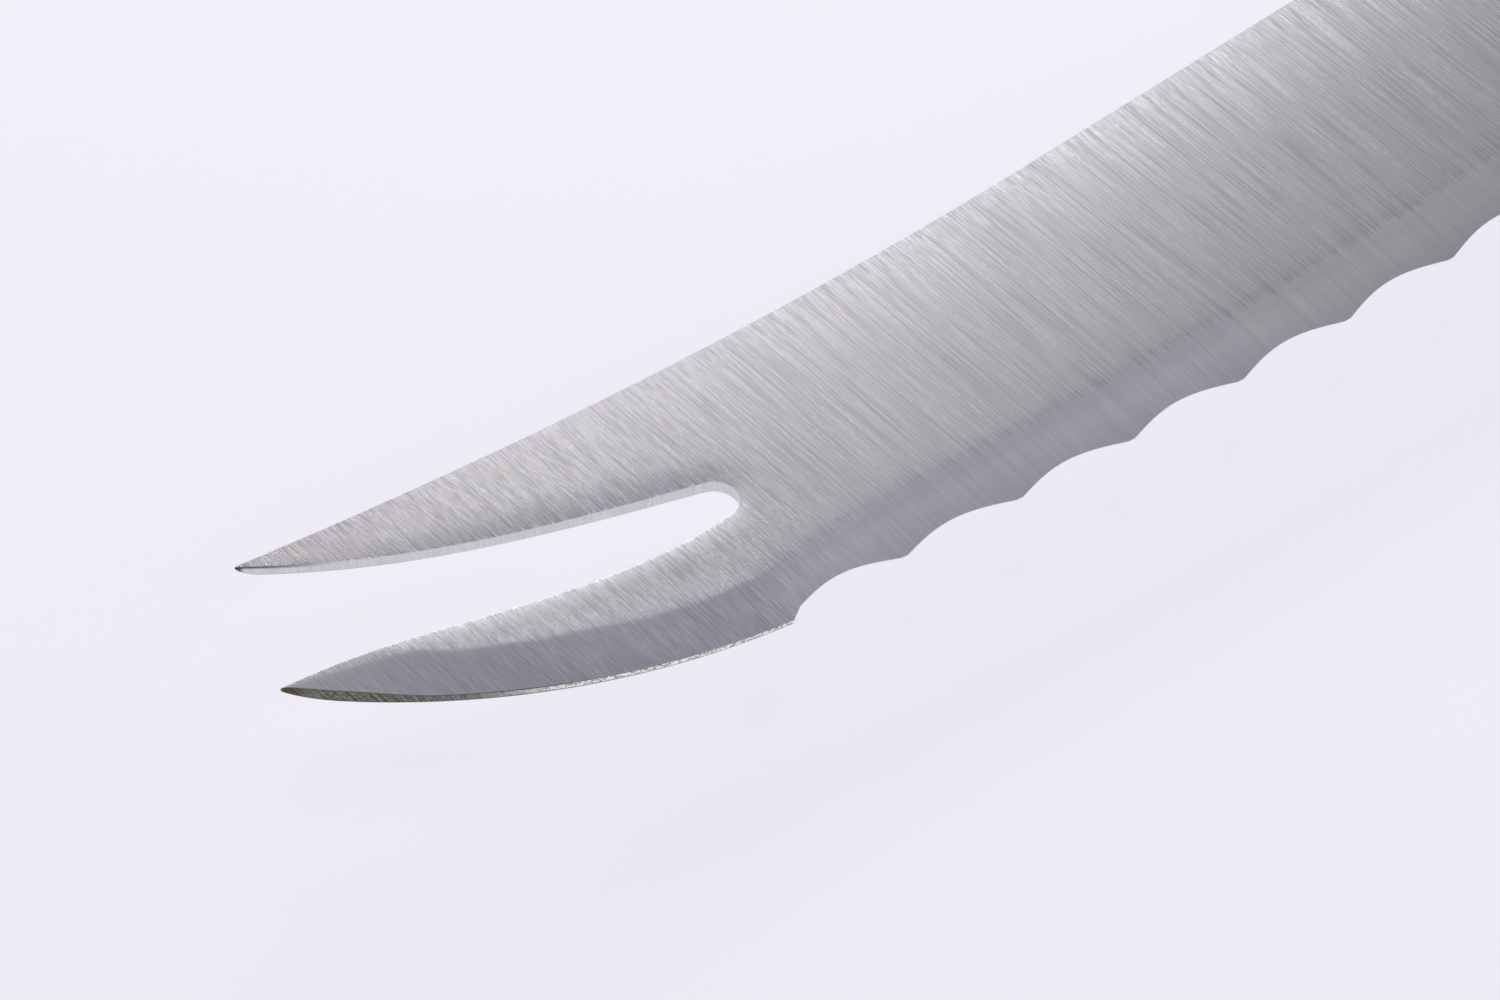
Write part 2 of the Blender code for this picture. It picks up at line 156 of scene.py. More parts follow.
class Workpiece:
    """One mesh object while it is being modelled with Blender's own operators."""

    def __init__(self, name: str) -> None:
        """Take the object that an operator has just added, and name it.

        Args:
            name: name of the object and of its mesh.
        """
        self.item: bpy.types.Object = bpy.context.active_object
        self.item.name = name
        self.item.data.name = name

    @staticmethod
    def clear_selection() -> None:
        """Leave nothing selected."""
        bpy.ops.object.select_all(action="DESELECT")

    @classmethod
    def grid(cls, name: str, along: int, across: int) -> "Workpiece":
        """Start a piece from a flat grid that is 2 m wide each way.

        Args:
            name: name of the piece.
            along: number of faces along X.
            across: number of faces along Y.

        Returns:
            The new piece.
        """
        cls.clear_selection()
        bpy.ops.mesh.primitive_grid_add(x_subdivisions=along, y_subdivisions=across, size=2)
        return cls(name)

    @classmethod
    def outline(cls, name: str, points: Outline, height: float) -> "Workpiece":
        """Start a piece from a filled circle whose points are moved onto an outline.

        Args:
            name: name of the piece.
            points: the outline in XY, in order.
            height: height of the flat face.

        Returns:
            The new piece.
        """
        cls.clear_selection()
        bpy.ops.mesh.primitive_circle_add(vertices=len(points), radius=1, fill_type="NGON")
        piece = cls(name)
        for vert, (x, y) in zip(piece.item.data.vertices, points):
            vert.co = (x, y, height)
        return piece

    @classmethod
    def cylinder(
        cls, name: str, sides: int, radius: float, low: Point, height: float
    ) -> "Workpiece":
        """Start a piece from a cylinder that stands on a point.

        Args:
            name: name of the piece.
            sides: number of sides.
            radius: radius of the cylinder.
            low: middle of its lower end.
            height: its height.

        Returns:
            The new piece.
        """
        cls.clear_selection()
        middle = (low[0], low[1], low[2] + height / 2)
        bpy.ops.mesh.primitive_cylinder_add(
            vertices=sides, radius=radius, depth=height, location=middle
        )
        piece = cls(name)
        bpy.ops.object.transform_apply(location=True, rotation=True, scale=True)
        return piece

    def _take(self) -> None:
        """Make this piece the active one and the only one selected."""
        self.clear_selection()
        self.item.select_set(True)
        bpy.context.view_layer.objects.active = self.item

    def edit(self, change: Callable[[Shape], None], after: Act | None = None) -> None:
        """Change the mesh in edit mode.

        Args:
            change: moves vertices or selects geometry.
            after: operators to run on what is selected.
        """
        self._take()
        bpy.ops.object.mode_set(mode="EDIT")
        mesh = bmesh.from_edit_mesh(self.item.data)
        change(mesh)
        bmesh.update_edit_mesh(self.item.data)
        if after is not None:
            after()
        bpy.ops.object.mode_set(mode="OBJECT")

    def on_faces(self, chosen: Test, operate: Act) -> None:
        """Run operators on the faces that a test picks."""
        self._on("FACE", lambda mesh: mesh.faces, chosen, operate)

    def on_edges(self, chosen: Test, operate: Act) -> None:
        """Run operators on the edges that a test picks."""
        self._on("EDGE", lambda mesh: mesh.edges, chosen, operate)

    def on_verts(self, chosen: Test, operate: Act) -> None:
        """Run operators on the vertices that a test picks."""
        self._on("VERT", lambda mesh: mesh.verts, chosen, operate)

    def _on(
        self, kind: str, elements: Callable[[Shape], Iterable[Any]], chosen: Test, operate: Act
    ) -> None:
        """Select some elements of one kind and run operators on them.

        Args:
            kind: the selection mode.
            elements: gives the mesh's elements of that kind.
            chosen: picks among them.
            operate: the operators.
        """

        def pick(mesh: Shape) -> None:
            """Select what the test picks, and nothing else."""
            for element in (*mesh.faces, *mesh.edges, *mesh.verts):
                element.select = False
            for element in elements(mesh):
                if chosen(element):
                    element.select_set(True)
            mesh.select_flush_mode()

        modes = tuple(kind == mode for mode in ("VERT", "EDGE", "FACE"))
        bpy.context.tool_settings.mesh_select_mode = modes
        self.edit(pick, operate)

    def on_all(self, operate: Act) -> None:
        """Run operators on the whole mesh."""
        self.on_verts(lambda vert: True, operate)

    def bevel(self, chosen: Test, radius: float, sides: int) -> None:
        """Round the edges that a test picks."""
        operate = bpy.ops.mesh.bevel
        self.on_edges(chosen, lambda: operate(offset=radius, segments=sides, affect="EDGES"))

    def merge_doubles(self) -> None:
        """Merge the vertices that lie on each other."""
        self.on_all(lambda: bpy.ops.mesh.remove_doubles(threshold=MERGE_DISTANCE))

    def face_outwards(self) -> None:
        """Turn every face outwards."""
        self.on_all(lambda: bpy.ops.mesh.normals_make_consistent(inside=False))

    def join(self, other: "Workpiece") -> None:
        """Join another piece into this one."""
        self._take()
        other.item.select_set(True)
        bpy.ops.object.join()

    def apply(self, kind: str, **settings: Any) -> None:
        """Add a modifier and apply it.

        Args:
            kind: the modifier's type.
            settings: its settings by name.
        """
        self._take()
        modifier = self.item.modifiers.new(kind.lower(), kind)
        for name, value in settings.items():
            setattr(modifier, name, value)
        bpy.ops.object.modifier_apply(modifier=modifier.name)

    def copy(self, name: str, offset: Point = (0.0, 0.0, 0.0)) -> "Workpiece":
        """Return a copy of the piece with its own mesh.

        Args:
            name: name of the copy.
            offset: how far the copy is moved.

        Returns:
            The copy.
        """
        self._take()
        bpy.ops.object.duplicate(linked=False)
        copy = Workpiece(name)
        bpy.ops.transform.translate(value=offset)
        bpy.ops.object.transform_apply(location=True, rotation=True, scale=True)
        return copy

    def cut_away(self, cutter: "Workpiece") -> None:
        """Subtract another piece, which is then removed."""
        self.apply("BOOLEAN", operation="DIFFERENCE", solver="EXACT", object=cutter.item)
        bpy.data.objects.remove(cutter.item)

    def smooth(self, sharp_from: float) -> None:
        """Shade smooth, apart from edges sharper than an angle."""
        self._take()
        bpy.ops.object.shade_smooth_by_angle(angle=math.radians(sharp_from))

    def dress(self, *materials: bpy.types.Material) -> None:
        """Give the piece its materials, in the order of its material slots."""
        self.item.data.materials.clear()
        for material in materials:
            self.item.data.materials.append(material)

    def hand_over(self, slot: str, node: str) -> None:
        """Put the piece in the place of a CAD node.

        Args:
            slot: the record's material slot; not used.
            node: the CAD node that the piece stands for.
        """
        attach(self.item, BODY)
        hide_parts(node)
        LOG.info("%s: %d faces, in place of %s", self.item.name, len(self.item.data.polygons), node)


class Graph:
    """A material's node tree while it is being wired."""

    COLOUR_INPUTS = (6, 7)
    COLOUR_OUTPUT = 2

    def __init__(self, name: str) -> None:
        """Start a material with a Principled shader.

        Args:
            name: name of the material.
        """
        self.material = bpy.data.materials.new(name)
        self.material.use_nodes = True
        self.tree = self.material.node_tree
        self.shader = self.tree.nodes["Principled BSDF"]

    def add(self, kind: str, **settings: Any) -> bpy.types.Node:
        """Add a node and set its properties."""
        node = self.tree.nodes.new(kind)
        for name, value in settings.items():
            setattr(node, name, value)
        return node

    def feed(self, node: bpy.types.Node, socket: str | int, value: Any) -> None:
        """Set an input of a node, or link another node's output to it."""
        target = node.inputs[socket]
        if isinstance(value, bpy.types.NodeSocket):
            self.tree.links.new(value, target)
        else:
            target.default_value = value

    def place(self, scale: Point, turn: float = 0.0) -> Wire:
        """Return Object coordinates, turned about Z and then scaled.

        Args:
            scale: features per metre along each axis.
            turn: degrees about Z.

        Returns:
            The place in features.
        """
        source = self.add("ShaderNodeTexCoord").outputs["Object"]
        turned = self.add("ShaderNodeMapping", vector_type="POINT")
        self.feed(turned, "Vector", source)
        self.feed(turned, "Rotation", (0.0, 0.0, math.radians(turn)))
        return self.vector("MULTIPLY", turned.outputs[0], scale)

    def noise(self, place: Wire, detail: float, rough: float = 0.5) -> Wire:
        """Return fractal noise with features one unit wide."""
        node = self.add("ShaderNodeTexNoise")
        self.feed(node, "Vector", place)
        self.feed(node, "Scale", 1.0)
        self.feed(node, "Detail", detail)
        self.feed(node, "Roughness", rough)
        return node.outputs["Fac"]

    def ripple(self, place: Wire, detail: float, rough: float = 0.5) -> Wire:
        """Return fractal noise that is centred on 0."""
        return self.math("SUBTRACT", self.noise(place, detail, rough), MIDDLE)

    def math(self, operation: str, first: Any, second: Any = 0.0, third: Any = 0.0) -> Wire:
        """Return the result of a math node."""
        node = self.add("ShaderNodeMath", operation=operation)
        for index, value in enumerate((first, second, third)):
            self.feed(node, index, value)
        return node.outputs[0]

    def vector(self, operation: str, first: Any, second: Any) -> Wire:
        """Return the result of a vector math node."""
        node = self.add("ShaderNodeVectorMath", operation=operation)
        self.feed(node, 0, first)
        self.feed(node, 1, second)
        return node.outputs[0]

    def product(self, first: Any, *factors: Any) -> Wire:
        """Return the product of some numbers."""
        for factor in factors:
            first = self.math("MULTIPLY", first, factor)
        return first

    def swing(self, value: Any, size: Any, base: Any = 1.0) -> Wire:
        """Return a base to which a value times a size is added."""
        return self.math("MULTIPLY_ADD", value, size, base)

    def between(self, share: Any, span: Span) -> Wire:
        """Return the number a share of the way along a span."""
        return self.swing(share, span[1] - span[0], span[0])

    def rest(self, share: Any) -> Wire:
        """Return what a share leaves of 1."""
        return self.math("SUBTRACT", 1.0, share)

    def remap(self, value: Any, source: Span, target: Span = FULL) -> Wire:
        """Return a value moved smoothly from one span to another."""
        node = self.add("ShaderNodeMapRange", interpolation_type="SMOOTHSTEP")
        self.feed(node, "Value", value)
        for socket, number in zip(("From Min", "From Max", "To Min", "To Max"), (*source, *target)):
            self.feed(node, socket, number)
        return node.outputs[0]

    def mix(self, share: Any, first: Any, second: Any) -> Wire:
        """Return a colour between two others."""
        node = self.add("ShaderNodeMix", data_type="RGBA")
        self.feed(node, 0, share)
        for index, value in zip(self.COLOUR_INPUTS, (first, second)):
            self.feed(node, index, (*value, 1.0) if isinstance(value, tuple) else value)
        return node.outputs[self.COLOUR_OUTPUT]

    def scale_colour(self, colour: Any, factor: Any) -> Wire:
        """Return a colour made lighter or darker by a factor."""
        node = self.add("ShaderNodeVectorMath", operation="SCALE")
        self.feed(node, 0, colour)
        self.feed(node, "Scale", factor)
        return node.outputs[0]

    def attribute(self, name: str) -> Wire:
        """Return a number stored on the mesh."""
        return self.add("ShaderNodeAttribute", attribute_name=name).outputs["Fac"]

    def metal(self, colour: Wire, roughness: Wire) -> None:
        """Make the surface bare metal."""
        self.feed(self.shader, "Base Color", colour)
        self.feed(self.shader, "Metallic", 1.0)
        self.feed(self.shader, "Roughness", roughness)

    def bump(self, height: Any, distance: float = 1.0) -> None:
        """Let a height raise the surface."""
        node = self.add("ShaderNodeBump")
        self.feed(node, "Strength", 1.0)
        self.feed(node, "Distance", distance)
        self.feed(node, "Height", height)
        self.feed(self.shader, "Normal", node.outputs[0])

    def brush_direction(self, uv_map: str) -> None:
        """Stretch reflections along U of a UV map."""
        node = self.add("ShaderNodeTangent", direction_type="UV_MAP", uv_map=uv_map)
        self.feed(self.shader, "Tangent", node.outputs[0])


@dataclass(frozen=True)
class Scratches:
    """One layer of scratches that run across the blade."""

    width: float
    length: float
    contrast: float
    relief: float = 0.0


@dataclass(frozen=True)
class BrushedSteel:
    """Satin steel of the blade's faces, brushed straight across the blade.

    Depths are in millimetres below the limit of the ground band.
    """

    colour: Colour = (0.600, 0.592, 0.650)
    ground_colour: Colour = (0.445, 0.442, 0.494)
    burnished_colour: Colour = (0.90, 0.84, 0.76)
    warm_tint: Colour = (1.020, 0.997, 0.980)
    cool_tint: Colour = (0.980, 1.003, 1.020)
    roughness: float = 0.30
    roughness_swing: float = -0.10
    anisotropy: float = 0.85
    brush_turn: float = 1.7
    grain: tuple[Scratches, ...] = (
        Scratches(0.00011, 0.0021, 0.40),
        Scratches(0.00018, 0.0056, 0.38),
    )
    lines: tuple[Scratches, ...] = (
        Scratches(0.00015, 0.0110, 0.48, 0.0000008),
        Scratches(0.00030, 0.0120, 0.34, 0.0000008),
        Scratches(0.00070, 0.0150, 0.17),
    )
    scratch_detail: float = 1.0
    grain_strength: Span = (0.40, 3.00)
    line_strength: Span = (1.0, 0.80)
    band_strength: Span = (1.0, 0.28)
    limit_ragged: float = 0.6
    limit_blur: Span = (-0.25, 0.25)
    tint_width: float = 0.0004
    tint_length: float = 0.0040
    tint_detail: float = 2.0
    tint_span: Span = (0.3, 0.7)
    tint_depth: Span = (-18.0, -1.0)
    tint_fade: Span = (0.0, 0.8)
    cloud_width: float = 0.0045
    cloud_stretch: float = 0.6
    cloud_detail: float = 3.0
    cloud_contrast: float = 0.03
    light_bias: float = 0.7
    # Painted highlight: the colour is made lighter above the ground band's limit on the lower
    # prong.
    painted_highlight: float = 0.13
    painted_highlight_depth: Span = (-5.0, -0.5)
    # Painted light: the colour is made lighter along the ground band's crease, over the shade that
    # the crease throws.
    painted_crease_light: float = 0.10
    crease_above: Span = (-0.8, 0.0)
    crease_below: Span = (0.3, 1.0)
    # Painted shade: the colour is made darker towards the upper prong's tip.
    tip_painted_shade: float = 0.16
    burnish_width: float = 0.00016
    burnish_length: float = 0.0008
    burnish_detail: float = 1.0
    burnish_pull: float = 0.22
    burnish_streaks: Span = (0.66, 0.84)
    burnish_light: Span = (0.0, 0.42)
    burnish_border: Span = (0.0, 0.35)

    def _brushed(self, graph: Graph, width: float, length: float) -> Wire:
        """Return places that run with the brushing, in widths and lengths of a mark."""
        return graph.place((1 / width, 1 / length, 1.0), self.brush_turn)

    def _layers(self, graph: Graph, layers: Sequence[Scratches]) -> tuple[Any, Any]:
        """Return layers of scratches, centred on 0, and their height.

        Args:
            graph: the material being wired.
            layers: the layers' sizes.

        Returns:
            How much lighter or darker the scratches are, and how far they stand out.
        """
        shade: Any = 0.0
        relief: Any = 0.0
        for layer in layers:
            place = self._brushed(graph, layer.width, layer.length)
            ripple = graph.ripple(place, self.scratch_detail)
            shade = graph.swing(ripple, 2 * layer.contrast, shade)
            relief = graph.swing(ripple, 2 * layer.relief, relief)
        return shade, relief

    def material(self) -> bpy.types.Material:
        """Return the material."""
        graph = Graph("brushed_steel")
        depth = graph.attribute("depth")
        coarse = graph.attribute("coarse")
        grain, grain_relief = self._layers(graph, self.grain)
        lines, line_relief = self._layers(graph, self.lines)
        grain = graph.product(grain, graph.between(coarse, self.grain_strength))
        lines = graph.product(lines, graph.between(coarse, self.line_strength))
        marks = graph.math("ADD", grain, lines)
        in_band = graph.remap(graph.swing(marks, self.limit_ragged, depth), self.limit_blur)
        calm = graph.between(in_band, self.band_strength)
        marks = graph.product(marks, calm)
        marked = graph.math("ADD", marks, 1.0)
        shade = graph.swing(self._clouds(graph), 2 * self.cloud_contrast, marked)
        shade = graph.swing(graph.product(marks, marks), self.light_bias, shade)
        # Painted light and shade: lighter above the band's limit and in its crease, darker towards
        # the upper prong's tip.
        shade = graph.product(shade, self._painted_light_and_shade(graph, depth, in_band))
        colour = self._tinted(graph, depth, in_band)
        rough = graph.swing(marks, self.roughness_swing, self.roughness)
        graph.metal(graph.scale_colour(colour, shade), rough)
        graph.feed(graph.shader, "Anisotropic", self.anisotropy)
        graph.brush_direction(BRUSH_MAP)
        graph.bump(graph.product(graph.math("ADD", grain_relief, line_relief), calm))
        return graph.material

    def _clouds(self, graph: Graph) -> Wire:
        """Return broad and faint clouds, centred on 0."""
        place = graph.place((1 / self.cloud_width, self.cloud_stretch / self.cloud_width, 1.0))
        return graph.ripple(place, self.cloud_detail)

    def _painted_light_and_shade(self, graph: Graph, depth: Wire, in_band: Wire) -> Wire:
        """Return the factor of painted light and shade: a painted highlight above the ground band's
        limit on the lower prong, painted light in its crease, and painted shade towards the upper
        prong's tip.
        """
        prong = graph.attribute("prong")
        above = graph.product(graph.remap(depth, self.painted_highlight_depth), graph.rest(in_band))
        # Painted highlight above the ground band's limit on the lower prong.
        painted_highlight = graph.product(above, prong, self.painted_highlight)
        crease = graph.product(
            graph.remap(depth, self.crease_above),
            graph.remap(depth, self.crease_below, EMPTYING),
            graph.rest(prong),
        )
        # Painted light along the ground band's crease.
        crease_painted_light = graph.swing(crease, self.painted_crease_light)
        # Painted shade towards the upper prong's tip.
        painted_tip_shade = graph.product(graph.attribute("upper"), -self.tip_painted_shade)
        return graph.math("ADD", crease_painted_light, graph.math("ADD", painted_highlight, painted_tip_shade))

    def _tinted(self, graph: Graph, depth: Wire, in_band: Wire) -> Wire:
        """Return the steel's colour, with faint warm and cool tints that run with the brushing."""
        polished = graph.product(in_band, graph.attribute("dark"))
        colour = graph.mix(polished, self.colour, self.ground_colour)
        colour = graph.mix(self._burnish(graph), colour, self.burnished_colour)
        place = self._brushed(graph, self.tint_width, self.tint_length)
        noise = graph.noise(place, self.tint_detail)
        tint = graph.mix(graph.remap(noise, self.tint_span), self.warm_tint, self.cool_tint)
        tint = graph.mix(graph.remap(depth, self.tint_depth, self.tint_fade), tint, WHITE)
        return graph.vector("MULTIPLY", colour, graph.mix(in_band, tint, WHITE))

    def _burnish(self, graph: Graph) -> Wire:
        """Return where the slot's border is burnished bright, in short streaks."""
        place = self._brushed(graph, self.burnish_width, self.burnish_length)
        border = graph.attribute("border")
        streaks = graph.swing(border, self.burnish_pull, graph.noise(place, self.burnish_detail))
        bright = graph.remap(streaks, self.burnish_streaks, self.burnish_light)
        return graph.product(bright, graph.remap(border, self.burnish_border))


@dataclass(frozen=True)
class WallSteel:
    """Bare steel of the blade's walls, with the stamping's marks across its thickness."""

    colour: Colour = (0.68, 0.665, 0.665)
    roughness: float = 0.34
    roughness_swing: float = 0.3
    mark_width: float = 0.00016
    mark_length: float = 0.0016
    mark_detail: float = 3.0
    mark_roughness: float = 0.6
    contrast: float = 0.34
    border: Span = (0.78, 0.96)
    border_shade: float = 0.62
    tip_reach: Span = (0.62, 0.96)
    tip_across: Span = (0.05, 0.50)
    tip_shade: float = 0.80
    point_reach: Span = (0.965, 0.985)
    point_shade: float = 0.20
    relief: float = 0.000003

    def material(self) -> bpy.types.Material:
        """Return the material."""
        graph = Graph("wall_steel")
        place = graph.place((1 / self.mark_width, 1 / self.mark_width, 1 / self.mark_length))
        marks = graph.ripple(place, self.mark_detail, self.mark_roughness)
        across = graph.attribute("across")
        upper = graph.attribute("upper")
        near_tip = graph.remap(upper, self.tip_reach, (0.0, self.tip_shade))
        shade = graph.product(
            graph.swing(marks, 2 * self.contrast),
            graph.remap(graph.math("ABSOLUTE", across), self.border, (1.0, self.border_shade)),
            graph.rest(graph.product(near_tip, graph.remap(across, self.tip_across))),
            graph.remap(upper, self.point_reach, (1.0, self.point_shade)),
        )
        colour = graph.scale_colour(self.colour, shade)
        graph.metal(colour, graph.swing(marks, self.roughness_swing, self.roughness))
        graph.bump(marks, self.relief)
        return graph.material


@dataclass(frozen=True)
class BellySteel:
    """Steel of the lower prong's outer edge: burnished at its corner, coarsely ground at its tip.

    Reaches are shares of the way from the prong's corner to its tip.
    """

    bright: Colour = (1.0, 0.98, 0.93)
    specks: Colour = (0.34, 0.335, 0.32)
    border: Colour = (0.11, 0.11, 0.105)
    coarse: Colour = (0.29, 0.285, 0.25)
    furrows: Colour = (0.080, 0.080, 0.068)
    tip_colour: Colour = (0.16, 0.12, 0.08)
    roughness: float = 0.21
    roughness_swing: float = 0.3
    speck_size: float = 0.00032
    speck_flatness: float = 1.6
    speck_detail: float = 3.0
    speck_roughness: float = 0.65
    speck_span: Span = (0.42, 0.54)
    rim_ragged: float = 0.6
    rim_span: Span = (0.62, 0.88)
    rim_shade: float = 0.6
    furrow_width: float = 0.00020
    furrow_slant: float = 0.25
    furrow_lean: float = 0.30
    furrow_ragged: float = 0.9
    furrow_detail: float = 3.0
    furrow_span: Span = (0.72, 1.22)
    coarse_ragged: float = 0.5
    coarse_reach: Span = (0.52, 0.72)
    tip_reach: Span = (0.955, 0.99)
    tip_share: float = 0.9
    relief: float = 0.00002

    def material(self) -> bpy.types.Material:
        """Return the material."""
        graph = Graph("belly_steel")
        reach = graph.attribute("belly")
        size = self.speck_size
        place = graph.place((1 / size, 1 / size, self.speck_flatness / size))
        blotches = graph.noise(place, self.speck_detail, self.speck_roughness)
        ripple = graph.math("SUBTRACT", blotches, MIDDLE)
        from_middle = graph.math("ABSOLUTE", graph.attribute("across"))
        rim = graph.remap(graph.swing(ripple, self.rim_ragged, from_middle), self.rim_span)
        burnished = graph.mix(graph.remap(blotches, self.speck_span), self.specks, self.bright)
        burnished = graph.mix(rim, burnished, self.border)
        waves = graph.swing(blotches, self.furrow_ragged, self._waves(graph))
        furrow = graph.remap(waves, self.furrow_span)
        ground = graph.mix(furrow, self.furrows, self.coarse)
        limit = graph.remap(graph.swing(ripple, self.coarse_ragged, reach), self.coarse_reach)
        colour = graph.mix(limit, burnished, ground)
        colour = graph.mix(graph.product(rim, self.rim_shade), colour, self.furrows)
        point = graph.remap(reach, self.tip_reach, (0.0, self.tip_share))
        colour = graph.mix(point, colour, self.tip_colour)
        graph.metal(colour, graph.swing(blotches, self.roughness_swing, self.roughness))
        graph.bump(graph.math("ADD", furrow, blotches), self.relief)
        return graph.material

    def _waves(self, graph: Graph) -> Wire:
        """Return noise in straight furrows that lean across the edge."""
        leaning = graph.add("ShaderNodeVectorMath", operation="DOT_PRODUCT")
        graph.feed(leaning, 0, graph.add("ShaderNodeTexCoord").outputs["Object"])
        width = self.furrow_width
        graph.feed(leaning, 1, (1 / width, self.furrow_slant / width, self.furrow_lean / width))
        waves = graph.add("ShaderNodeTexNoise", noise_dimensions="1D")
        graph.feed(waves, "W", leaning.outputs["Value"])
        graph.feed(waves, "Detail", self.furrow_detail)
        graph.feed(waves, "Scale", 1.0)
        return waves.outputs["Fac"]


@dataclass(frozen=True)
class HandleWood:
    """Dark oiled hardwood with its grain along the handle."""

    light: Colour = (0.20, 0.085, 0.038)
    dark: Colour = (0.060, 0.024, 0.012)
    roughness: float = 0.42
    sway_scale: Point = (9.0, 60.0, 60.0)
    sway_detail: float = 2.0
    sway_size: float = 9.0
    ring_width: float = 0.0030
    rings_along: float = 1.6
    ring_detail: float = 4.0
    ring_roughness: float = 0.55
    ring_span: Span = (0.30, 0.70)
    fibre_width: float = 0.0004
    fibre_length: float = 0.012
    fibre_detail: float = 3.0
    fibre_rough: float = 0.6
    fibre_contrast: float = 0.7
    fibre_roughness: float = 0.12
    fibre_relief: float = 0.00003
    pore_width: float = 0.00016
    pore_length: float = 0.0050
    pore_detail: float = 1.0
    pore_span: Span = (0.64, 0.74)
    pore_shade: float = 0.65
    pore_roughness: float = 0.25
    pore_relief: float = -0.00006

    def _along(self, graph: Graph, length: float, width: float) -> Wire:
        """Return places that run along the handle, in lengths and widths of a mark."""
        return graph.place((1 / length, 1 / width, 1 / width))

    def material(self) -> bpy.types.Material:
        """Return the material."""
        graph = Graph("handle_wood")
        sway = graph.noise(graph.place(self.sway_scale), self.sway_detail)
        rings_place = graph.place((self.rings_along, 1 / self.ring_width, 1 / self.ring_width))
        shifted = graph.vector("ADD", rings_place, graph.product(sway, self.sway_size))
        rings = graph.noise(shifted, self.ring_detail, self.ring_roughness)
        fibres_place = self._along(graph, self.fibre_length, self.fibre_width)
        fibres = graph.ripple(fibres_place, self.fibre_detail, self.fibre_rough)
        pores_place = self._along(graph, self.pore_length, self.pore_width)
        pores = graph.remap(graph.noise(pores_place, self.pore_detail), self.pore_span)
        colour = graph.mix(graph.remap(rings, self.ring_span), self.dark, self.light)
        open_grain = graph.rest(graph.product(pores, self.pore_shade))
        shade = graph.product(graph.swing(fibres, self.fibre_contrast), open_grain)
        graph.feed(graph.shader, "Base Color", graph.scale_colour(colour, shade))
        rough = graph.swing(fibres, self.fibre_roughness, self.roughness)
        graph.feed(graph.shader, "Roughness", graph.swing(pores, self.pore_roughness, rough))
        graph.bump(graph.swing(pores, self.pore_relief, graph.product(fibres, self.fibre_relief)))
        return graph.material


@dataclass(frozen=True)
class RivetSteel:
    """Rivet heads, ground flush with the wood and polished."""

    colour: Colour = (0.66, 0.66, 0.67)
    roughness: float = 0.24
    roughness_swing: float = 0.2
    mark_width: float = 0.00012
    mark_length: float = 0.0060
    mark_detail: float = 2.0
    contrast: float = 0.25
    relief: float = 0.000003

    def material(self) -> bpy.types.Material:
        """Return the material."""
        graph = Graph("rivet_steel")
        place = graph.place((1 / self.mark_length, 1 / self.mark_width, 1 / self.mark_width))
        marks = graph.ripple(place, self.mark_detail)
        colour = graph.scale_colour(self.colour, graph.swing(marks, self.contrast))
        graph.metal(colour, graph.swing(marks, self.roughness_swing, self.roughness))
        graph.bump(marks, self.relief)
        return graph.material


class NodeProbe:
    """Measures a CAD node by casting rays at its mesh."""

    REACH = 1.0

    def __init__(self, node: bpy.types.Object) -> None:
        """Prepare to measure a node.

        Args:
            node: the CAD node's object.
        """
        mesh = node.data
        corners = [vert.co.copy() for vert in mesh.vertices]
        self.tree = BVHTree.FromPolygons(corners, [list(face.vertices) for face in mesh.polygons])

    def edge_y(self, x: float, height: float, from_above: bool) -> float:
        """Return where a ray along Y first meets the node.

        Args:
            x: place of the ray along the knife.
            height: height of the ray.
            from_above: cast from the spine's side rather than from the edge's side.

        Returns:
            The Y of the first hit.
        """
        sign = 1.0 if from_above else -1.0
        hit = self.tree.ray_cast(Vector((x, sign * self.REACH, height)), Vector((0, -sign, 0)))
        return hit[0].y


@dataclass(frozen=True)
class Layout:
    """Places of the knife's pieces, read from the frame."""

    handle_front: float
    butt: float
    top_line: float
    middle: float
    thickness: float
    handle_high: float
    inner_face: float

    @classmethod
    def from_frame(cls) -> "Layout":
        """Read the places of the CAD nodes."""
        blade_low, blade_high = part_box("blade")
        left_low, left_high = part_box("left_scale")
        return cls(
            handle_front=left_low.x,
            butt=left_high.x,
            top_line=left_high.y,
            middle=(blade_low.z + blade_high.z) / 2,
            thickness=blade_high.z - blade_low.z,
            handle_high=left_high.z,
            inner_face=left_low.z,
        )


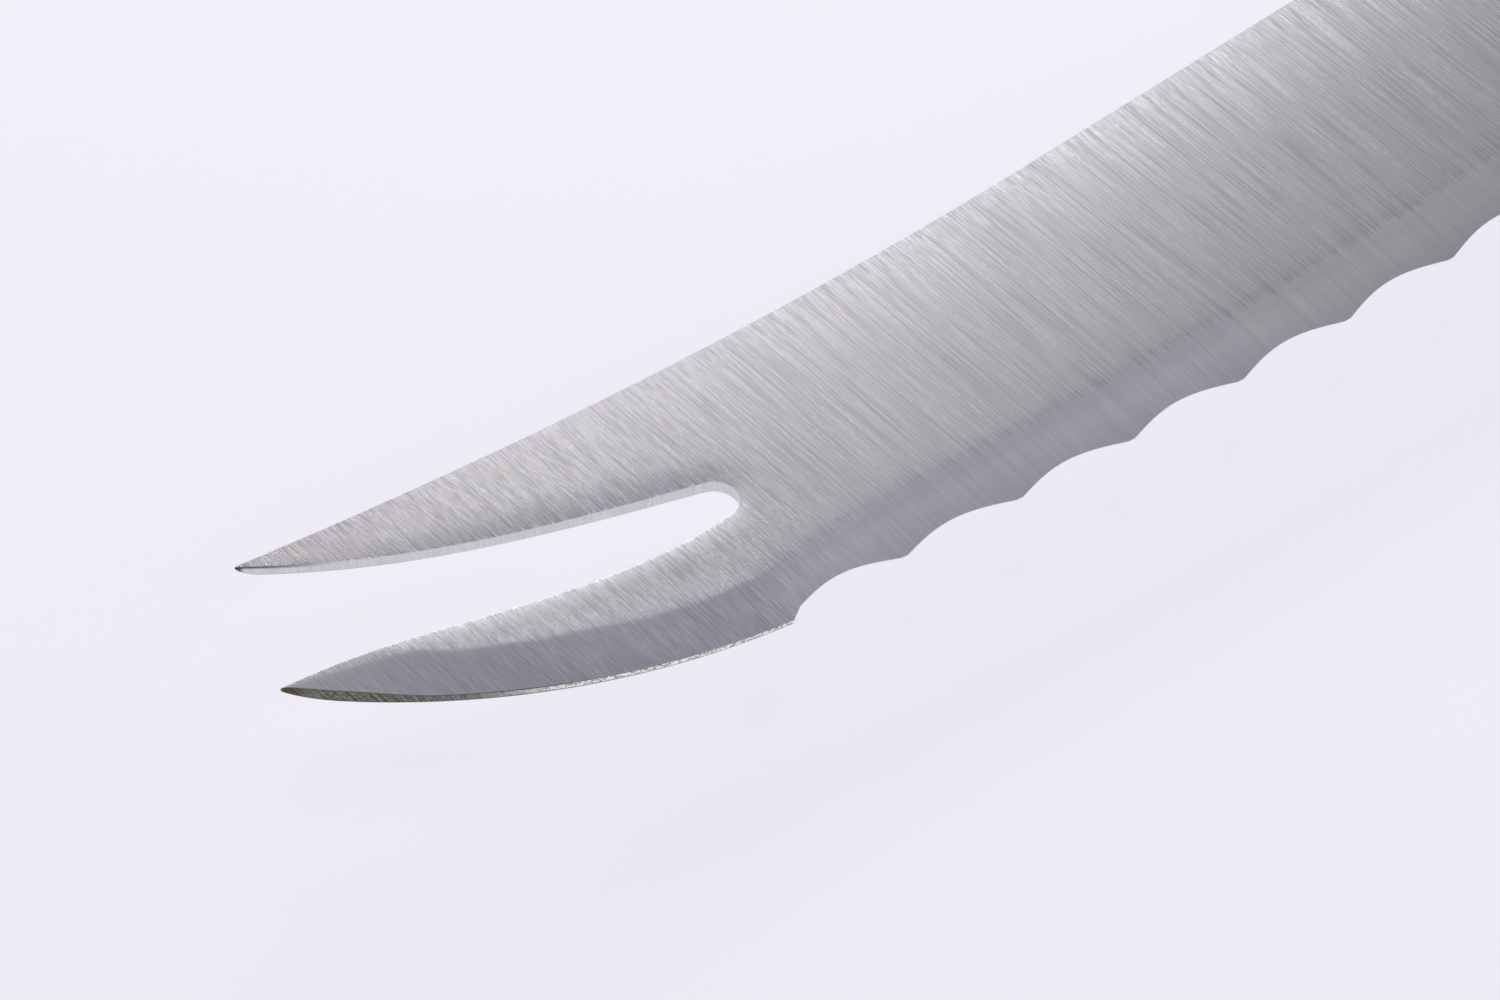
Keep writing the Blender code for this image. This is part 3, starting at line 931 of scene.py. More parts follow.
@dataclass
class BladeForm:
    """Outline and thickness of the blade, as functions of the place on it."""

    layout: Layout
    tang: NodeProbe
    length: float = 0.200
    height: float = 0.0329
    heel_clearance: float = 0.004
    heel_draft: float = 0.0003
    spine_radius: float = 0.432
    spine_rise_length: float = 0.0901
    edge_radius: float = 0.627
    edge_rise_length: float = 0.1259
    tip_thickness: float = 0.0012
    taper_length: float = 0.057
    bevel_width: float = 0.0062
    edge_thickness: float = 0.0005
    tip_edge_thickness: float = 0.0009
    bevel_blend: float = 0.09
    crown: float = 0.00008
    crown_power: float = 3.0
    upper_roll: tuple[float, float] = (0.00008, 0.0035)
    lower_roll: tuple[float, float] = (0.00004, 0.0020)
    roll_fade: float = 0.019
    zone_width: float = 0.0052
    zone_reach: float = 30.0
    zone_front: float = 0.80
    zone_fade: float = 0.004
    prong_fade: float = 0.008
    edge_dark_from: float = 2.5
    edge_dark_over: float = 3.2
    edge_dark: float = 0.70
    prong_dark: float = 0.80
    prong_mild: float = 0.35
    prong_mild_reach: float = 0.6
    zone_sway: tuple[tuple[float, float], ...] = ((0.00020, 0.0026), (0.00012, 0.0011))
    spine_zone: float = 0.0055
    spine_coarse: float = 0.7
    border_width: float = 0.0016
    scallop_pitch: float = 0.0120
    scallop_depth: float = 0.00125
    tooth_flat: float = 0.0007
    grind_angle: float = 20.0
    plain_heel: float = 0.006
    belly_length: float = 0.0382
    belly_radius: float = 0.0660
    belly_drop: float = 0.0010
    belly_setback: float = 0.00055
    belly_rim: float = 0.00004
    lower_point: float = 0.0036
    upper_point: float = 0.0016
    point_share: float = 0.95
    belly_setback_from: float = 0.74
    belly_setback_rise: float = 0.16
    corner_step: float = 0.00135
    lower_tip_drop: float = 0.0054
    stagger: float = 0.0062
    fork_depth: float = 0.0443
    slot_radius: float = 0.0023
    slot_drop: float = 0.0129
    upper_angles: tuple[float, float] = (19.8, 41.0)
    upper_pulls: tuple[float, float] = (0.0147, 0.0145)
    lower_angles: tuple[float, float] = (-2.1, 6.9)
    lower_pulls: tuple[float, float] = (0.0153, 0.0137)
    heel_x: float = field(init=False)
    tip_x: float = field(init=False)
    corner_x: float = field(init=False)
    slot_centre: Vector = field(init=False)

    def __post_init__(self) -> None:
        """Work out the places that follow from the sizes."""
        self.heel_x = self.layout.handle_front - self.heel_clearance
        self.tip_x = self.heel_x - self.length
        self.corner_x = self.tip_x + self.belly_length
        self.slot_centre = Vector((
            self.tip_x + self.fork_depth - self.slot_radius,
            self.layout.top_line - self.slot_drop,
        ))

    @property
    def slot_end_x(self) -> float:
        """Return the closed end of the slot."""
        return self.slot_centre.x + self.slot_radius

    @property
    def upper_tip(self) -> Vector:
        """Return the tip of the upper prong."""
        x = self.tip_x + self.stagger
        return Vector((x, self.spine_y(x)))

    @property
    def lower_tip(self) -> Vector:
        """Return the tip of the lower prong."""
        return Vector((self.tip_x, self.layout.top_line - self.lower_tip_drop))

    def spine_y(self, x: float) -> float:
        """Return the height of the spine, or of the tang's upper edge."""
        if x > self.layout.handle_front:
            return self.tang.edge_y(x, self.layout.middle, True)
        rise = arc_drop(self.tip_x + self.spine_rise_length - x, self.spine_radius)
        return self.layout.top_line + rise

    def teeth_y(self, x: float) -> float:
        """Return the height of the line of the teeth."""
        rise = arc_drop(self.tip_x + self.edge_rise_length - x, self.edge_radius)
        return self.layout.top_line - self.height + rise

    def belly_y(self, x: float) -> float:
        """Return the height of the lower prong's belly, which ends at its corner."""
        tip = self.lower_tip
        corner = Vector((self.corner_x, self.teeth_y(self.corner_x) - self.belly_drop))
        chord = corner - tip
        reach = math.sqrt(self.belly_radius ** 2 - (chord.length / 2) ** 2)
        centre = (tip + corner) / 2 + Vector((-chord.y, chord.x)).normalized() * reach
        return centre.y - math.sqrt(self.belly_radius ** 2 - (x - centre.x) ** 2)

    def tip_share(self, x: float) -> float:
        """Return 0 behind the lower prong's corner, rising to 1 at its tip."""
        return clamp_share((self.corner_x - x) / self.belly_length)

    def scallop_rise(self, x: float) -> float:
        """Return how high the scallops reach above the line of the teeth, as a share."""
        count = math.floor((self.heel_x - self.plain_heel - self.corner_x) / self.scallop_pitch)
        index = math.floor((x - self.corner_x) / self.scallop_pitch)
        if index < 0 or index >= count:
            return 0.0
        start = self.corner_x + index * self.scallop_pitch
        left = start + (self.tooth_flat / 2 if index else self.corner_step)
        right = start + self.scallop_pitch - self.tooth_flat / 2
        return math.sin(math.pi * clamp_share((x - left) / (right - left)))

    def low_y(self, x: float, face: Face) -> float:
        """Return the lower outline of a face of the blade or the tang.

        Args:
            x: place along the knife.
            face: which face; the scallops and the belly's chamfer differ between them.

        Returns:
            The height of the outline.
        """
        if x > self.heel_x:
            return self.tang.edge_y(x, self.layout.middle, False)
        if x < self.corner_x:
            if face is Face.RIGHT:
                return self.belly_y(x)
            risen = (self.tip_share(x) - self.belly_setback_from) / self.belly_setback_rise
            return self.belly_y(x) + self.belly_setback * ease(clamp_share(risen))
        slope = (self.layout.thickness - self.edge_thickness) / 2 / self.bevel_width
        lean = 1 / math.tan(math.radians(self.grind_angle))
        rise = self.scallop_depth * self.scallop_rise(x)
        flank = clamp_share(1 - (x - self.corner_x) / self.corner_step) * self.belly_drop
        if face is Face.LEFT:
            return self.teeth_y(x) + rise - flank
        facet = (rise * (1 + slope * lean) + self.edge_thickness * lean) / (1 - slope * lean)
        return self.teeth_y(x) + facet - flank

    def behind_share(self, x: float) -> float:
        """Return 0 on the lower prong, rising to 1 a little behind its corner."""
        return clamp_share((x - self.corner_x) / self.fork_depth * 2)

    def belly_slope(self, x: float) -> float:
        """Return the slope of the belly, or 0 behind the lower prong."""
        if x >= self.corner_x - self.heel_draft:
            return 0.0
        step = self.heel_draft
        return (self.belly_y(x + step) - self.belly_y(x - step)) / (2 * step)

    def ground_width(self, x: float) -> float:
        """Return the width of the ground band, which is narrower along the lower prong."""
        return blend_between(self.zone_width, self.bevel_width, self.behind_share(x))

    def edge_distance(self, x: float, y: float) -> float:
        """Return the distance of a point from the line of the cutting edge or of the belly."""
        belly = (y - self.belly_y(min(x, self.corner_x))) / math.hypot(1.0, self.belly_slope(x))
        return blend_between(belly, y - self.teeth_y(x), self.behind_share(x))

    def band_share(self, x: float, y: float) -> float:
        """Return how far a point lies into the ground band: 0 at its line and 1 at the edge."""
        if x > self.heel_x:
            return 0.0
        return 1 - self.edge_distance(x, y) / self.ground_width(x)

    def half_thickness(self, x: float, y: float) -> float:
        """Return half the thickness of the blade at a point of its face."""
        tip = clamp_share((self.tip_x + self.taper_length - x) / self.taper_length)
        full = blend_between(self.layout.thickness, self.tip_thickness, tip) / 2
        if x > self.heel_x:
            return full
        edge = blend_between(self.edge_thickness, self.tip_edge_thickness, self.tip_share(x)) / 2
        share = self.band_share(x, y)
        ground = (share + math.hypot(share, self.bevel_blend)) / 2
        return full - (full - edge) * ground

    def crown_drop(self, y: float) -> float:
        """Return how far the crowned left face drops towards the spine and the edge."""
        middle = self.layout.top_line - self.height / 2
        return self.crown * abs((y - middle) / (self.height / 2)) ** self.crown_power

    def right_level(self, x: float, y: float) -> float:
        """Return the height of the right face, which rises towards the prongs' points."""
        half = self.half_thickness(x, y)
        upper = x < self.slot_centre.x and self.above_slot(x, y)
        start = self.upper_tip.x if upper else self.tip_x
        length = self.upper_point if upper else self.lower_point
        share = clamp_share(1 - (x - start) / length)
        rise = 1 - math.sqrt(1 - share * share)
        return self.layout.middle - half * (1 - 2 * rise * self.point_share)

    def above_slot(self, x: float, y: float) -> bool:
        """Return whether a point lies above the middle line of the slot."""
        if x >= self.slot_centre.x:
            return y > self.slot_centre.y
        return y > (self.slot_edge_y(x, True) + self.slot_edge_y(x, False)) / 2

    def slot_distance(self, x: float, y: float) -> float:
        """Return the distance of a point of a face from the slot."""
        centre = self.slot_centre
        if x >= centre.x:
            return abs(math.hypot(x - centre.x, y - centre.y) - self.slot_radius)
        return abs(y - self.slot_edge_y(x, self.above_slot(x, y)))

    def roll_drop(self, x: float, y: float) -> float:
        """Return how far the face has rolled down at a point beside the slot."""
        if x > self.heel_x:
            return 0.0
        centre = self.slot_centre
        upper = clamp_share((y - centre.y) / self.slot_radius / 2 + MIDDLE)
        narrow = 1.0
        if x < centre.x:
            upper = float(self.above_slot(x, y))
            start = self.upper_tip.x if upper else self.tip_x
            narrow = clamp_share((x - start) / self.roll_fade) + self.bevel_blend
        depth = blend_between(self.lower_roll[0], self.upper_roll[0], upper) * narrow * narrow
        width = blend_between(self.lower_roll[1], self.upper_roll[1], upper) * narrow
        return depth * (1 - clamp_share(self.slot_distance(x, y) / width)) ** 2

    def slot_edge_y(self, x: float, upper: bool) -> float:
        """Return an edge of the slot between the prongs.

        Args:
            x: place along the knife, no further than the slot's closed end.
            upper: whether the upper edge is meant.

        Returns:
            The height of the edge.
        """
        side = 1 if upper else -1
        angles = self.upper_angles if upper else self.lower_angles
        pulls = self.upper_pulls if upper else self.lower_pulls
        turns = [math.radians(angle) for angle in angles]
        along, arriving = (Vector((-math.cos(turn), math.sin(turn))) for turn in turns)
        start = self.slot_centre + Vector((along.y, -along.x)) * side * self.slot_radius
        if x >= start.x:
            reach = self.slot_radius ** 2 - (x - self.slot_centre.x) ** 2
            return self.slot_centre.y + side * math.sqrt(max(0.0, reach))
        tip = self.upper_tip if upper else self.lower_tip
        points = (start, start + along * pulls[0], tip - arriving * pulls[1], tip)
        return self._height_on_curve(points, x)

    @staticmethod
    def _height_on_curve(points: Sequence[Vector], x: float) -> float:
        """Return the height of a cubic curve at x; the curve runs towards -X."""
        near = 0.0
        far = 1.0
        for _ in range(HALVINGS):
            share = (near + far) / 2
            rest = 1 - share
            weights = (rest ** 3, 3 * rest * rest * share, 3 * rest * share * share, share ** 3)
            weighted = (point * weight for point, weight in zip(points, weights))
            found = sum(weighted, Vector((0.0, 0.0)))
            if found.x > x:
                near = share
            else:
                far = share
        return found.y

    def zone_depth(self, x: float, y: float) -> float:
        """Return how far a point lies into the smoothly ground zone, in millimetres.

        Args:
            x: place along the knife.
            y: place across the knife.

        Returns:
            The distance from the zone's limit, above 0 on the side of the cutting edge.
        """
        reach = self.zone_reach
        if x > self.heel_x:
            return -reach
        sway = sum(size * math.sin(x / pitch + pitch) for size, pitch in self.zone_sway)
        sway *= 1 - self.behind_share(x)
        width = self.ground_width(x) + sway
        if x < self.corner_x:
            width = min(width, self.zone_front * self.edge_distance(x, self.slot_edge_y(x, False)))
        depth = (width - self.edge_distance(x, y)) * PER_MILLIMETRE
        return max(-reach, min(reach, depth))

    def prong_share(self, x: float) -> float:
        """Return 1 on the lower prong, falling to 0 behind its corner."""
        return ease(clamp_share((self.corner_x + self.zone_fade - x) / (2 * self.zone_fade)))

    def upper_share(self, x: float, y: float) -> float:
        """Return 0 in the middle of the upper prong, rising to 1 at its tip."""
        if x >= self.slot_centre.x or not self.above_slot(x, y):
            return 0.0
        return clamp_share(1 - (x - self.upper_tip.x) / (self.fork_depth / 2))

    def dark_share(self, x: float, y: float) -> float:
        """Return how dark the ground zone is: fully on the prong, and along the edge behind it."""
        near_edge = clamp_share((self.zone_depth(x, y) - self.edge_dark_from) / self.edge_dark_over)
        along = clamp_share(self.tip_share(x) / self.prong_mild_reach)
        lightest = self.prong_dark - self.prong_mild * math.sin(math.pi * along)
        on_prong = blend_between(lightest, 1.0, near_edge)
        return blend_between(self.edge_dark * near_edge, on_prong, self.prong_share(x))

    def coarse_share(self, x: float, y: float) -> float:
        """Return how coarse the brushing is: coarse on the prongs and along the spine."""
        prong = clamp_share((self.slot_end_x + self.prong_fade - x) / (2 * self.prong_fade))
        if x >= self.heel_x:
            return prong
        spine = clamp_share(1 - (self.spine_y(x) - y) / self.spine_zone)
        return max(prong, self.spine_coarse * spine)

    def border_share(self, x: float, y: float) -> float:
        """Return 1 at the slot's lower border, falling to 0 a little away from it."""
        if x > self.slot_end_x + self.border_width or self.above_slot(x, y):
            return 0.0
        return clamp_share(1 - self.slot_distance(x, y) / self.border_width)

    def lower_half_top(self, x: float) -> float:
        """Return the upper limit of the blade's lower half: the slot's edge or the seam."""
        return self.slot_edge_y(x, False) if x < self.slot_end_x else self.seam_y(x)

    def seam_y(self, x: float) -> float:
        """Return the line behind the slot where the two halves of a face meet."""
        if x <= self.heel_x:
            return self.slot_centre.y
        share = (self.slot_centre.y - self.teeth_y(self.heel_x)) / self.height
        return blend_between(self.low_y(x, Face.LEFT), self.spine_y(x), share)


@dataclass
class Blade:
    """The blade and its tang: one sheet of steel, forked, ground and brushed."""

    form: BladeForm
    rivets: Sequence[Vector]
    hole_radius: float
    step: float = 0.0005
    tang_step: float = 0.0020
    round_sides: int = 16
    rim_sides: int = 3
    columns: int = 28
    column_warp: float = 0.4
    column_power: float = 3.0
    rim_radius: float = 0.00007
    rim_share: float = 0.2
    hold_share: float = 0.1
    keen_radius: float = 0.000012
    hold: float = 0.00005
    corner_gap: float = 0.00003
    hole_sides: int = 48
    wall_from: float = 50.0
    face_from: float = 0.5
    tip_radius: float = 0.00025
    apart: float = 0.05
    sharp_from: float = 32.0

    def stations(self, start: float) -> list[float]:
        """Return the places of the cross-sections, from one place to the butt."""
        form = self.form
        marks = [start, form.corner_x, form.corner_x + form.corner_step, form.heel_x]
        flat = form.tooth_flat / 2
        tooth = form.corner_x + form.scallop_pitch
        while tooth < form.heel_x - form.plain_heel:
            marks += [tooth - flat, tooth, tooth + flat]
            tooth += form.scallop_pitch
        for i in range(self.round_sides + 1):
            quarter = QUARTER_TURN * i / self.round_sides
            marks.append(form.slot_centre.x + form.slot_radius * math.sin(quarter))
            marks.append(start + self.tip_radius * (1 - math.cos(quarter)))
        marks.append(form.corner_x - self.corner_gap)
        marks.append(form.heel_x + form.heel_draft)
        return self._filled([mark for mark in marks if mark >= start])

    def _filled(self, marks: list[float]) -> list[float]:
        """Return the marks with evenly spaced places between them, on to the butt."""
        butt = self.form.layout.butt - self.form.heel_draft
        marks = sorted(set(marks + [butt]))
        places = [marks[0]]
        for near, far in zip(marks, marks[1:]):
            step = self.step if far <= self.form.heel_x else self.tang_step
            if near > self.form.layout.handle_front + self.form.heel_clearance:
                step = self.tang_step
            count = max(1, math.ceil((far - near) / step))
            places += [blend_between(near, far, (i + 1) / count) for i in range(count)]
        return places

    def row(self, low: float, high: float, rims: tuple[float, float], upper: bool) -> Outline:
        """Return a strip's cross-section as pairs of height and drop below the face.

        Args:
            low: lower limit of the strip.
            high: upper limit of the strip.
            rims: radii of its lower and upper rim, each 0 where it has none.
            upper: whether the strip lies above the slot; its points are closest at the slot.

        Returns:
            The points from low to high.
        """
        width = high - low
        ends: list[Outline] = []
        for rim in rims:
            rim = min(rim, width * self.rim_share)
            end = []
            for i in range(self.rim_sides + 1):
                angle = QUARTER_TURN * i / self.rim_sides
                end.append((rim * (1 - math.cos(angle)), rim * (1 - math.sin(angle))))
            if rim > 0:
                rim += min(self.hold, width * self.hold_share)
            end.append((rim, 0.0))
            ends.append(end)
        first = low + ends[0][-1][0]
        last = high - ends[1][-1][0]
        points = [(low + offset, drop) for offset, drop in ends[0]]
        for i in range(1, self.columns):
            share = i / self.columns if upper else 1 - i / self.columns
            share = blend_between(share, share ** self.column_power, self.column_warp)
            points.append((blend_between(first, last, share if upper else 1 - share), 0.0))
        points += [(high - offset, drop) for offset, drop in reversed(ends[1])]
        return points

    def strip(self, name: str, upper: bool) -> Workpiece:
        """Model the upper or the lower half of the left face from a grid.

        Args:
            name: name of the piece.
            upper: whether the half along the spine is meant.

        Returns:
            The strip, as wide as the blade's face on its side of the slot.
        """
        form = self.form
        start = (form.upper_tip if upper else form.lower_tip).x + self.tip_radius / 2
        places = self.stations(start)
        rows = [self._strip_row(x, start, upper) for x in places]
        piece = Workpiece.grid(name, len(places) - 1, len(rows[0]) - 1)

        def shape(mesh: Shape) -> None:
            """Move the grid's points to the cross-sections."""
            for vert in mesh.verts:
                i = round((vert.co.x + 1) / 2 * (len(places) - 1))
                j = round((vert.co.y + 1) / 2 * (len(rows[0]) - 1))
                y, drop = rows[i][j]
                drop += form.roll_drop(places[i], y) + form.crown_drop(y)
                face = form.layout.middle + form.half_thickness(places[i], y)
                vert.co = (places[i], y, face - drop)

        piece.edit(shape)
        return piece

    def _strip_row(self, x: float, start: float, upper: bool) -> Outline:
        """Return the cross-section of a strip at x, narrowed to a round tip at its start."""
        form = self.form
        forked = x < form.slot_end_x
        ahead = max(0.0, form.slot_end_x - x)
        fading = self.rim_radius * min(1.0, math.sqrt(ahead / form.heel_draft))
        if upper:
            low = form.slot_edge_y(x, True) if forked else form.seam_y(x)
            high = form.spine_y(x)
            rims = (fading, 0.0)
        else:
            high = form.lower_half_top(x)
            low = min(form.low_y(x, Face.LEFT), high - self.hold)
            keen = form.corner_x <= x <= form.heel_x
            belly = form.belly_rim if x < form.corner_x else self.rim_radius
            rims = (self.keen_radius if keen else belly, fading)
        run = min(self.tip_radius, x - start)
        limit = math.sqrt(max(0.0, 2 * run * self.tip_radius - run * run)) + self.keen_radius
        if run < self.tip_radius and high - low > 2 * limit:
            middle = (low + high) / 2
            low = middle - limit
            high = middle + limit
        return self.row(low, high, rims, upper)

    def model(self) -> Workpiece:
        """Model the whole blade."""
        form = self.form
        piece = self.strip("forked_blade", False)
        piece.join(self.strip("upper_half", True))
        piece.merge_doubles()
        self._thicken(piece)

        def shape_right_face(mesh: Shape) -> None:
            """Lower the extruded copy of the left face to the right face."""
            for vert in mesh.verts:
                if vert.co.z > 0:
                    continue
                x = vert.co.x
                y = vert.co.y
                drop = form.layout.middle + form.half_thickness(x, y) - (vert.co.z + self.apart)
                top = form.lower_half_top(x)
                low = min(form.low_y(x, Face.LEFT), top - self.hold)
                lean = form.low_y(x, Face.RIGHT) - low
                if x < form.corner_x:
                    lean = min(lean, 0.0)
                level = form.right_level(x, y) + drop - form.crown_drop(y)
                y += lean * clamp_share((top - y) / (top - low))
                vert.co = (x, y, level)

        piece.edit(shape_right_face)
        piece.merge_doubles()
        piece.face_outwards()
        for centre in self.rivets:
            low = (centre.x, centre.y, form.layout.middle - form.layout.thickness)
            height = 2 * form.layout.thickness
            cutter = Workpiece.cylinder("hole", self.hole_sides, self.hole_radius, low, height)
            piece.cut_away(cutter)
        return piece

    def _thicken(self, piece: Workpiece) -> None:
        """Close the left face into a sheet whose walls have a holding loop at each rim."""
        piece.on_all(lambda: bpy.ops.mesh.select_all(action="SELECT"))
        for rise in (-self.hold, -self.apart, self.hold):
            piece.edit(lambda mesh: None, lambda: extrude(rise))

    def lay_brush_map(self, piece: Workpiece) -> None:
        """Lay a UV map along the blade, and note at each point where it lies on the blade."""
        mesh = piece.item.data
        while mesh.uv_layers:
            mesh.uv_layers.remove(mesh.uv_layers[0])
        layer = mesh.uv_layers.new(name=BRUSH_MAP)
        for loop in mesh.loops:
            place = mesh.vertices[loop.vertex_index].co
            layer.data[loop.index].uv = (place.x, place.y)
        form = self.form
        notes: dict[str, Callable[[float, float], float]] = {
            "depth": form.zone_depth,
            "dark": form.dark_share,
            "coarse": form.coarse_share,
            "border": form.border_share,
            "prong": lambda x, y: form.prong_share(x),
            "upper": form.upper_share,
            "belly": lambda x, y: form.tip_share(x),
        }
        across = mesh.attributes.new("across", "FLOAT", "POINT").data
        for vert in mesh.vertices:
            half = form.half_thickness(vert.co.x, vert.co.y)
            across[vert.index].value = (vert.co.z - form.layout.middle) / half
        for name, measure in notes.items():
            values = mesh.attributes.new(name, "FLOAT", "POINT").data
            for vert in mesh.vertices:
                values[vert.index].value = measure(vert.co.x, vert.co.y)

    def assign_zones(self, piece: Workpiece) -> None:
        """Give the faces, the walls and the belly their own material slots."""
        form = self.form
        limit = math.cos(math.radians(self.wall_from))
        across = piece.item.data.attributes["across"].data
        for face in piece.item.data.polygons:
            lowest = min(across[index].value for index in face.vertices)
            x = face.center.x
            zone = BladeZone.WALL
            if face.normal.z < -limit or (face.normal.z > limit and lowest > self.face_from):
                zone = BladeZone.FACE
            elif x < form.corner_x and face.center.y < form.belly_y(x) + form.belly_drop:
                zone = BladeZone.BELLY
            face.material_index = zone.value

    def build(self, faces: BrushedSteel, walls: WallSteel, belly: BellySteel) -> Workpiece:
        """Model, dress and hand over the blade."""
        piece = self.model()
        self.lay_brush_map(piece)
        piece.smooth(self.sharp_from)
        piece.dress(faces.material(), walls.material(), belly.material())
        self.assign_zones(piece)
        piece.hand_over("brushed_steel", "blade")
        return piece


@dataclass
class HandleScale:
    """One half of the handle, shaped from its outline and rounded along its outer rim."""

    layout: Layout
    probe: NodeProbe
    rivets: Sequence[Vector]
    head_radius: float
    head_height: float
    bore_radius: float
    tang_clearance: float = 0.00003
    head_clearance: float = 0.00004
    rim_round: float = 0.0035
    rim_sides: int = 10
    front_round: float = 0.0013
    front_sides: int = 6
    step: float = 0.0020
    end_sides: int = 20
    end_length: float = 0.009
    end_cap: float = 0.0004
    inset: float = 0.0003
    level_share: float = 0.25
    drill_sides: int = 96
    sharp_from: float = 35.0

    def outline(self) -> Outline:
        """Return the outline of the scale, measured on its CAD node."""
        layout = self.layout
        level = blend_between(layout.inner_face, layout.handle_high, self.level_share)
        front = layout.handle_front
        straight = layout.butt - self.end_length
        count = math.ceil((straight - front) / self.step)
        places = [blend_between(front + self.inset, straight, i / count) for i in range(count)]
        for i in range(self.end_sides):
            share = math.sin(QUARTER_TURN * i / self.end_sides)
            places.append(straight + (self.end_length - self.end_cap) * share)
        lower = [(x, self.probe.edge_y(x, level, False)) for x in places]
        upper = [(x, self.probe.edge_y(x, level, True)) for x in places]
        return [(front, lower[0][1]), *lower[1:], *reversed(upper[1:]), (front, upper[0][1])]

    def build(self, name: str, wood: bpy.types.Material) -> Workpiece:
        """Model and dress the left scale.

        Args:
            name: name of the piece.
            wood: its material.

        Returns:
            The scale, not yet handed over.
        """
        layout = self.layout
        inner = layout.middle + layout.thickness / 2 + self.tang_clearance
        outer = layout.handle_high
        piece = Workpiece.outline(name, self.outline(), inner)
        piece.on_all(lambda: extrude(outer - inner))
        piece.face_outwards()
        piece.bevel(
            lambda edge: not self._at_front(edge) and all_at(edge.verts, outer),
            self.rim_round,
            self.rim_sides,
        )
        piece.bevel(
            lambda edge: self._at_front(edge) and not all_at(edge.verts, inner),
            self.front_round,
            self.front_sides,
        )
        self._drill(piece, inner, outer)
        piece.smooth(self.sharp_from)
        piece.dress(wood)
        return piece

    def _at_front(self, edge: bmesh.types.BMEdge) -> bool:
        """Return whether an edge lies in the scale's front."""
        limit = self.layout.handle_front + self.inset / 2
        return all(vert.co.x < limit for vert in edge.verts)

    def mirrored(self, scale: Workpiece, name: str) -> Workpiece:
        """Return a copy of the scale, mirrored to the other side of the tang.

        Args:
            scale: the left scale.
            name: name of the copy.

        Returns:
            The right scale, not yet handed over.
        """
        copy = scale.copy(name)

        def flip(mesh: Shape) -> None:
            """Mirror the copy in the blade's middle plane."""
            for vert in mesh.verts:
                vert.co.z = 2 * self.layout.middle - vert.co.z

        copy.edit(flip)
        copy.face_outwards()
        return copy

    def _drill(self, piece: Workpiece, inner: float, outer: float) -> None:
        """Cut the rivets' holes and the recesses for their heads."""
        seat = outer - self.head_height
        for centre in self.rivets:
            for radius, start in (
                (self.bore_radius, inner - self.inset),
                (self.head_radius + self.head_clearance, seat),
            ):
                low = (centre.x, centre.y, start)
                height = outer + self.inset - start
                drill = Workpiece.cylinder("drill", self.drill_sides, radius, low, height)
                piece.cut_away(drill)


@dataclass
class Rivet:
    """One half of a two-part rivet: a flush head on a solid shank or on a tube."""

    node: str
    half: RivetHalf
    shank_radius: float
    tube_wall: float
    head_height: float
    edge_round: float = 0.00018
    edge_sides: int = 4
    dome: float = 0.00004
    dome_reach: float = 0.00016
    ring_width: float = 0.0009
    rings: int = 3
    sides: int = 96
    sharp_from: float = 35.0

    def build(self, name: str, steel: bpy.types.Material) -> Workpiece:
        """Model and dress the rivet half.

        Args:
            name: name of the piece.
            steel: its material.

        Returns:
            The rivet half, not yet handed over.
        """
        low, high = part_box(self.node)
        radius = (high.x - low.x) / 2
        centre = (low + high) / 2
        upwards = self.half is RivetHalf.SHANK
        head_low = high.z - self.head_height if upwards else low.z
        foot = (centre.x, centre.y, head_low)
        piece = Workpiece.cylinder(name, self.sides, radius, foot, self.head_height)
        outer = high.z if upwards else low.z
        seat = head_low if upwards else head_low + self.head_height
        end = low.z if upwards else high.z
        self._round_head(piece, outer, upwards)
        stem = self.shank_radius if upwards else self.shank_radius + self.tube_wall
        self._draw_out(piece, seat, radius - stem, end)
        if not upwards:
            self._draw_out(piece, end, self.tube_wall, seat)
        piece.face_outwards()
        piece.smooth(self.sharp_from)
        piece.dress(steel)
        return piece

    def _round_head(self, piece: Workpiece, outer: float, upwards: bool) -> None:
        """Round the head's outer edge and crown its face."""
        piece.bevel(
            lambda edge: all_at(edge.verts, outer), self.edge_round, self.edge_sides
        )
        rise = self.dome if upwards else -self.dome
        for _ in range(self.rings):
            piece.on_faces(
                lambda face: self._is_round(face, outer, self.dome_reach),
                lambda: bpy.ops.mesh.inset(thickness=self.ring_width, depth=0.0),
            )
        piece.edit(lambda mesh: self._crown(mesh, outer, rise))

    def _is_round(self, face: bmesh.types.BMFace, level: float, reach: float) -> bool:
        """Return whether a face is the round one at a height, or within reach of it."""
        return len(face.verts) == self.sides and all_at(face.verts, level, reach)

    def _crown(self, mesh: Shape, outer: float, rise: float) -> None:
        """Lift the head's middle slightly."""
        low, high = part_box(self.node)
        centre = (low + high) / 2
        radius = (high.x - low.x) / 2 - self.edge_round
        for vert in mesh.verts:
            if abs(vert.co.z - outer) < MERGE_DISTANCE:
                far = math.hypot(vert.co.x - centre.x, vert.co.y - centre.y) / radius
                vert.co.z += rise * (1 - clamp_share(far) ** 2)

    def _draw_out(self, piece: Workpiece, level: float, inset: float, end: float) -> None:
        """Inset the round face at a level and extrude it to another."""
        piece.on_faces(
            lambda face: self._is_round(face, level, MERGE_DISTANCE),
            lambda: (bpy.ops.mesh.inset(thickness=inset, depth=0.0), extrude(end - level)),
        )


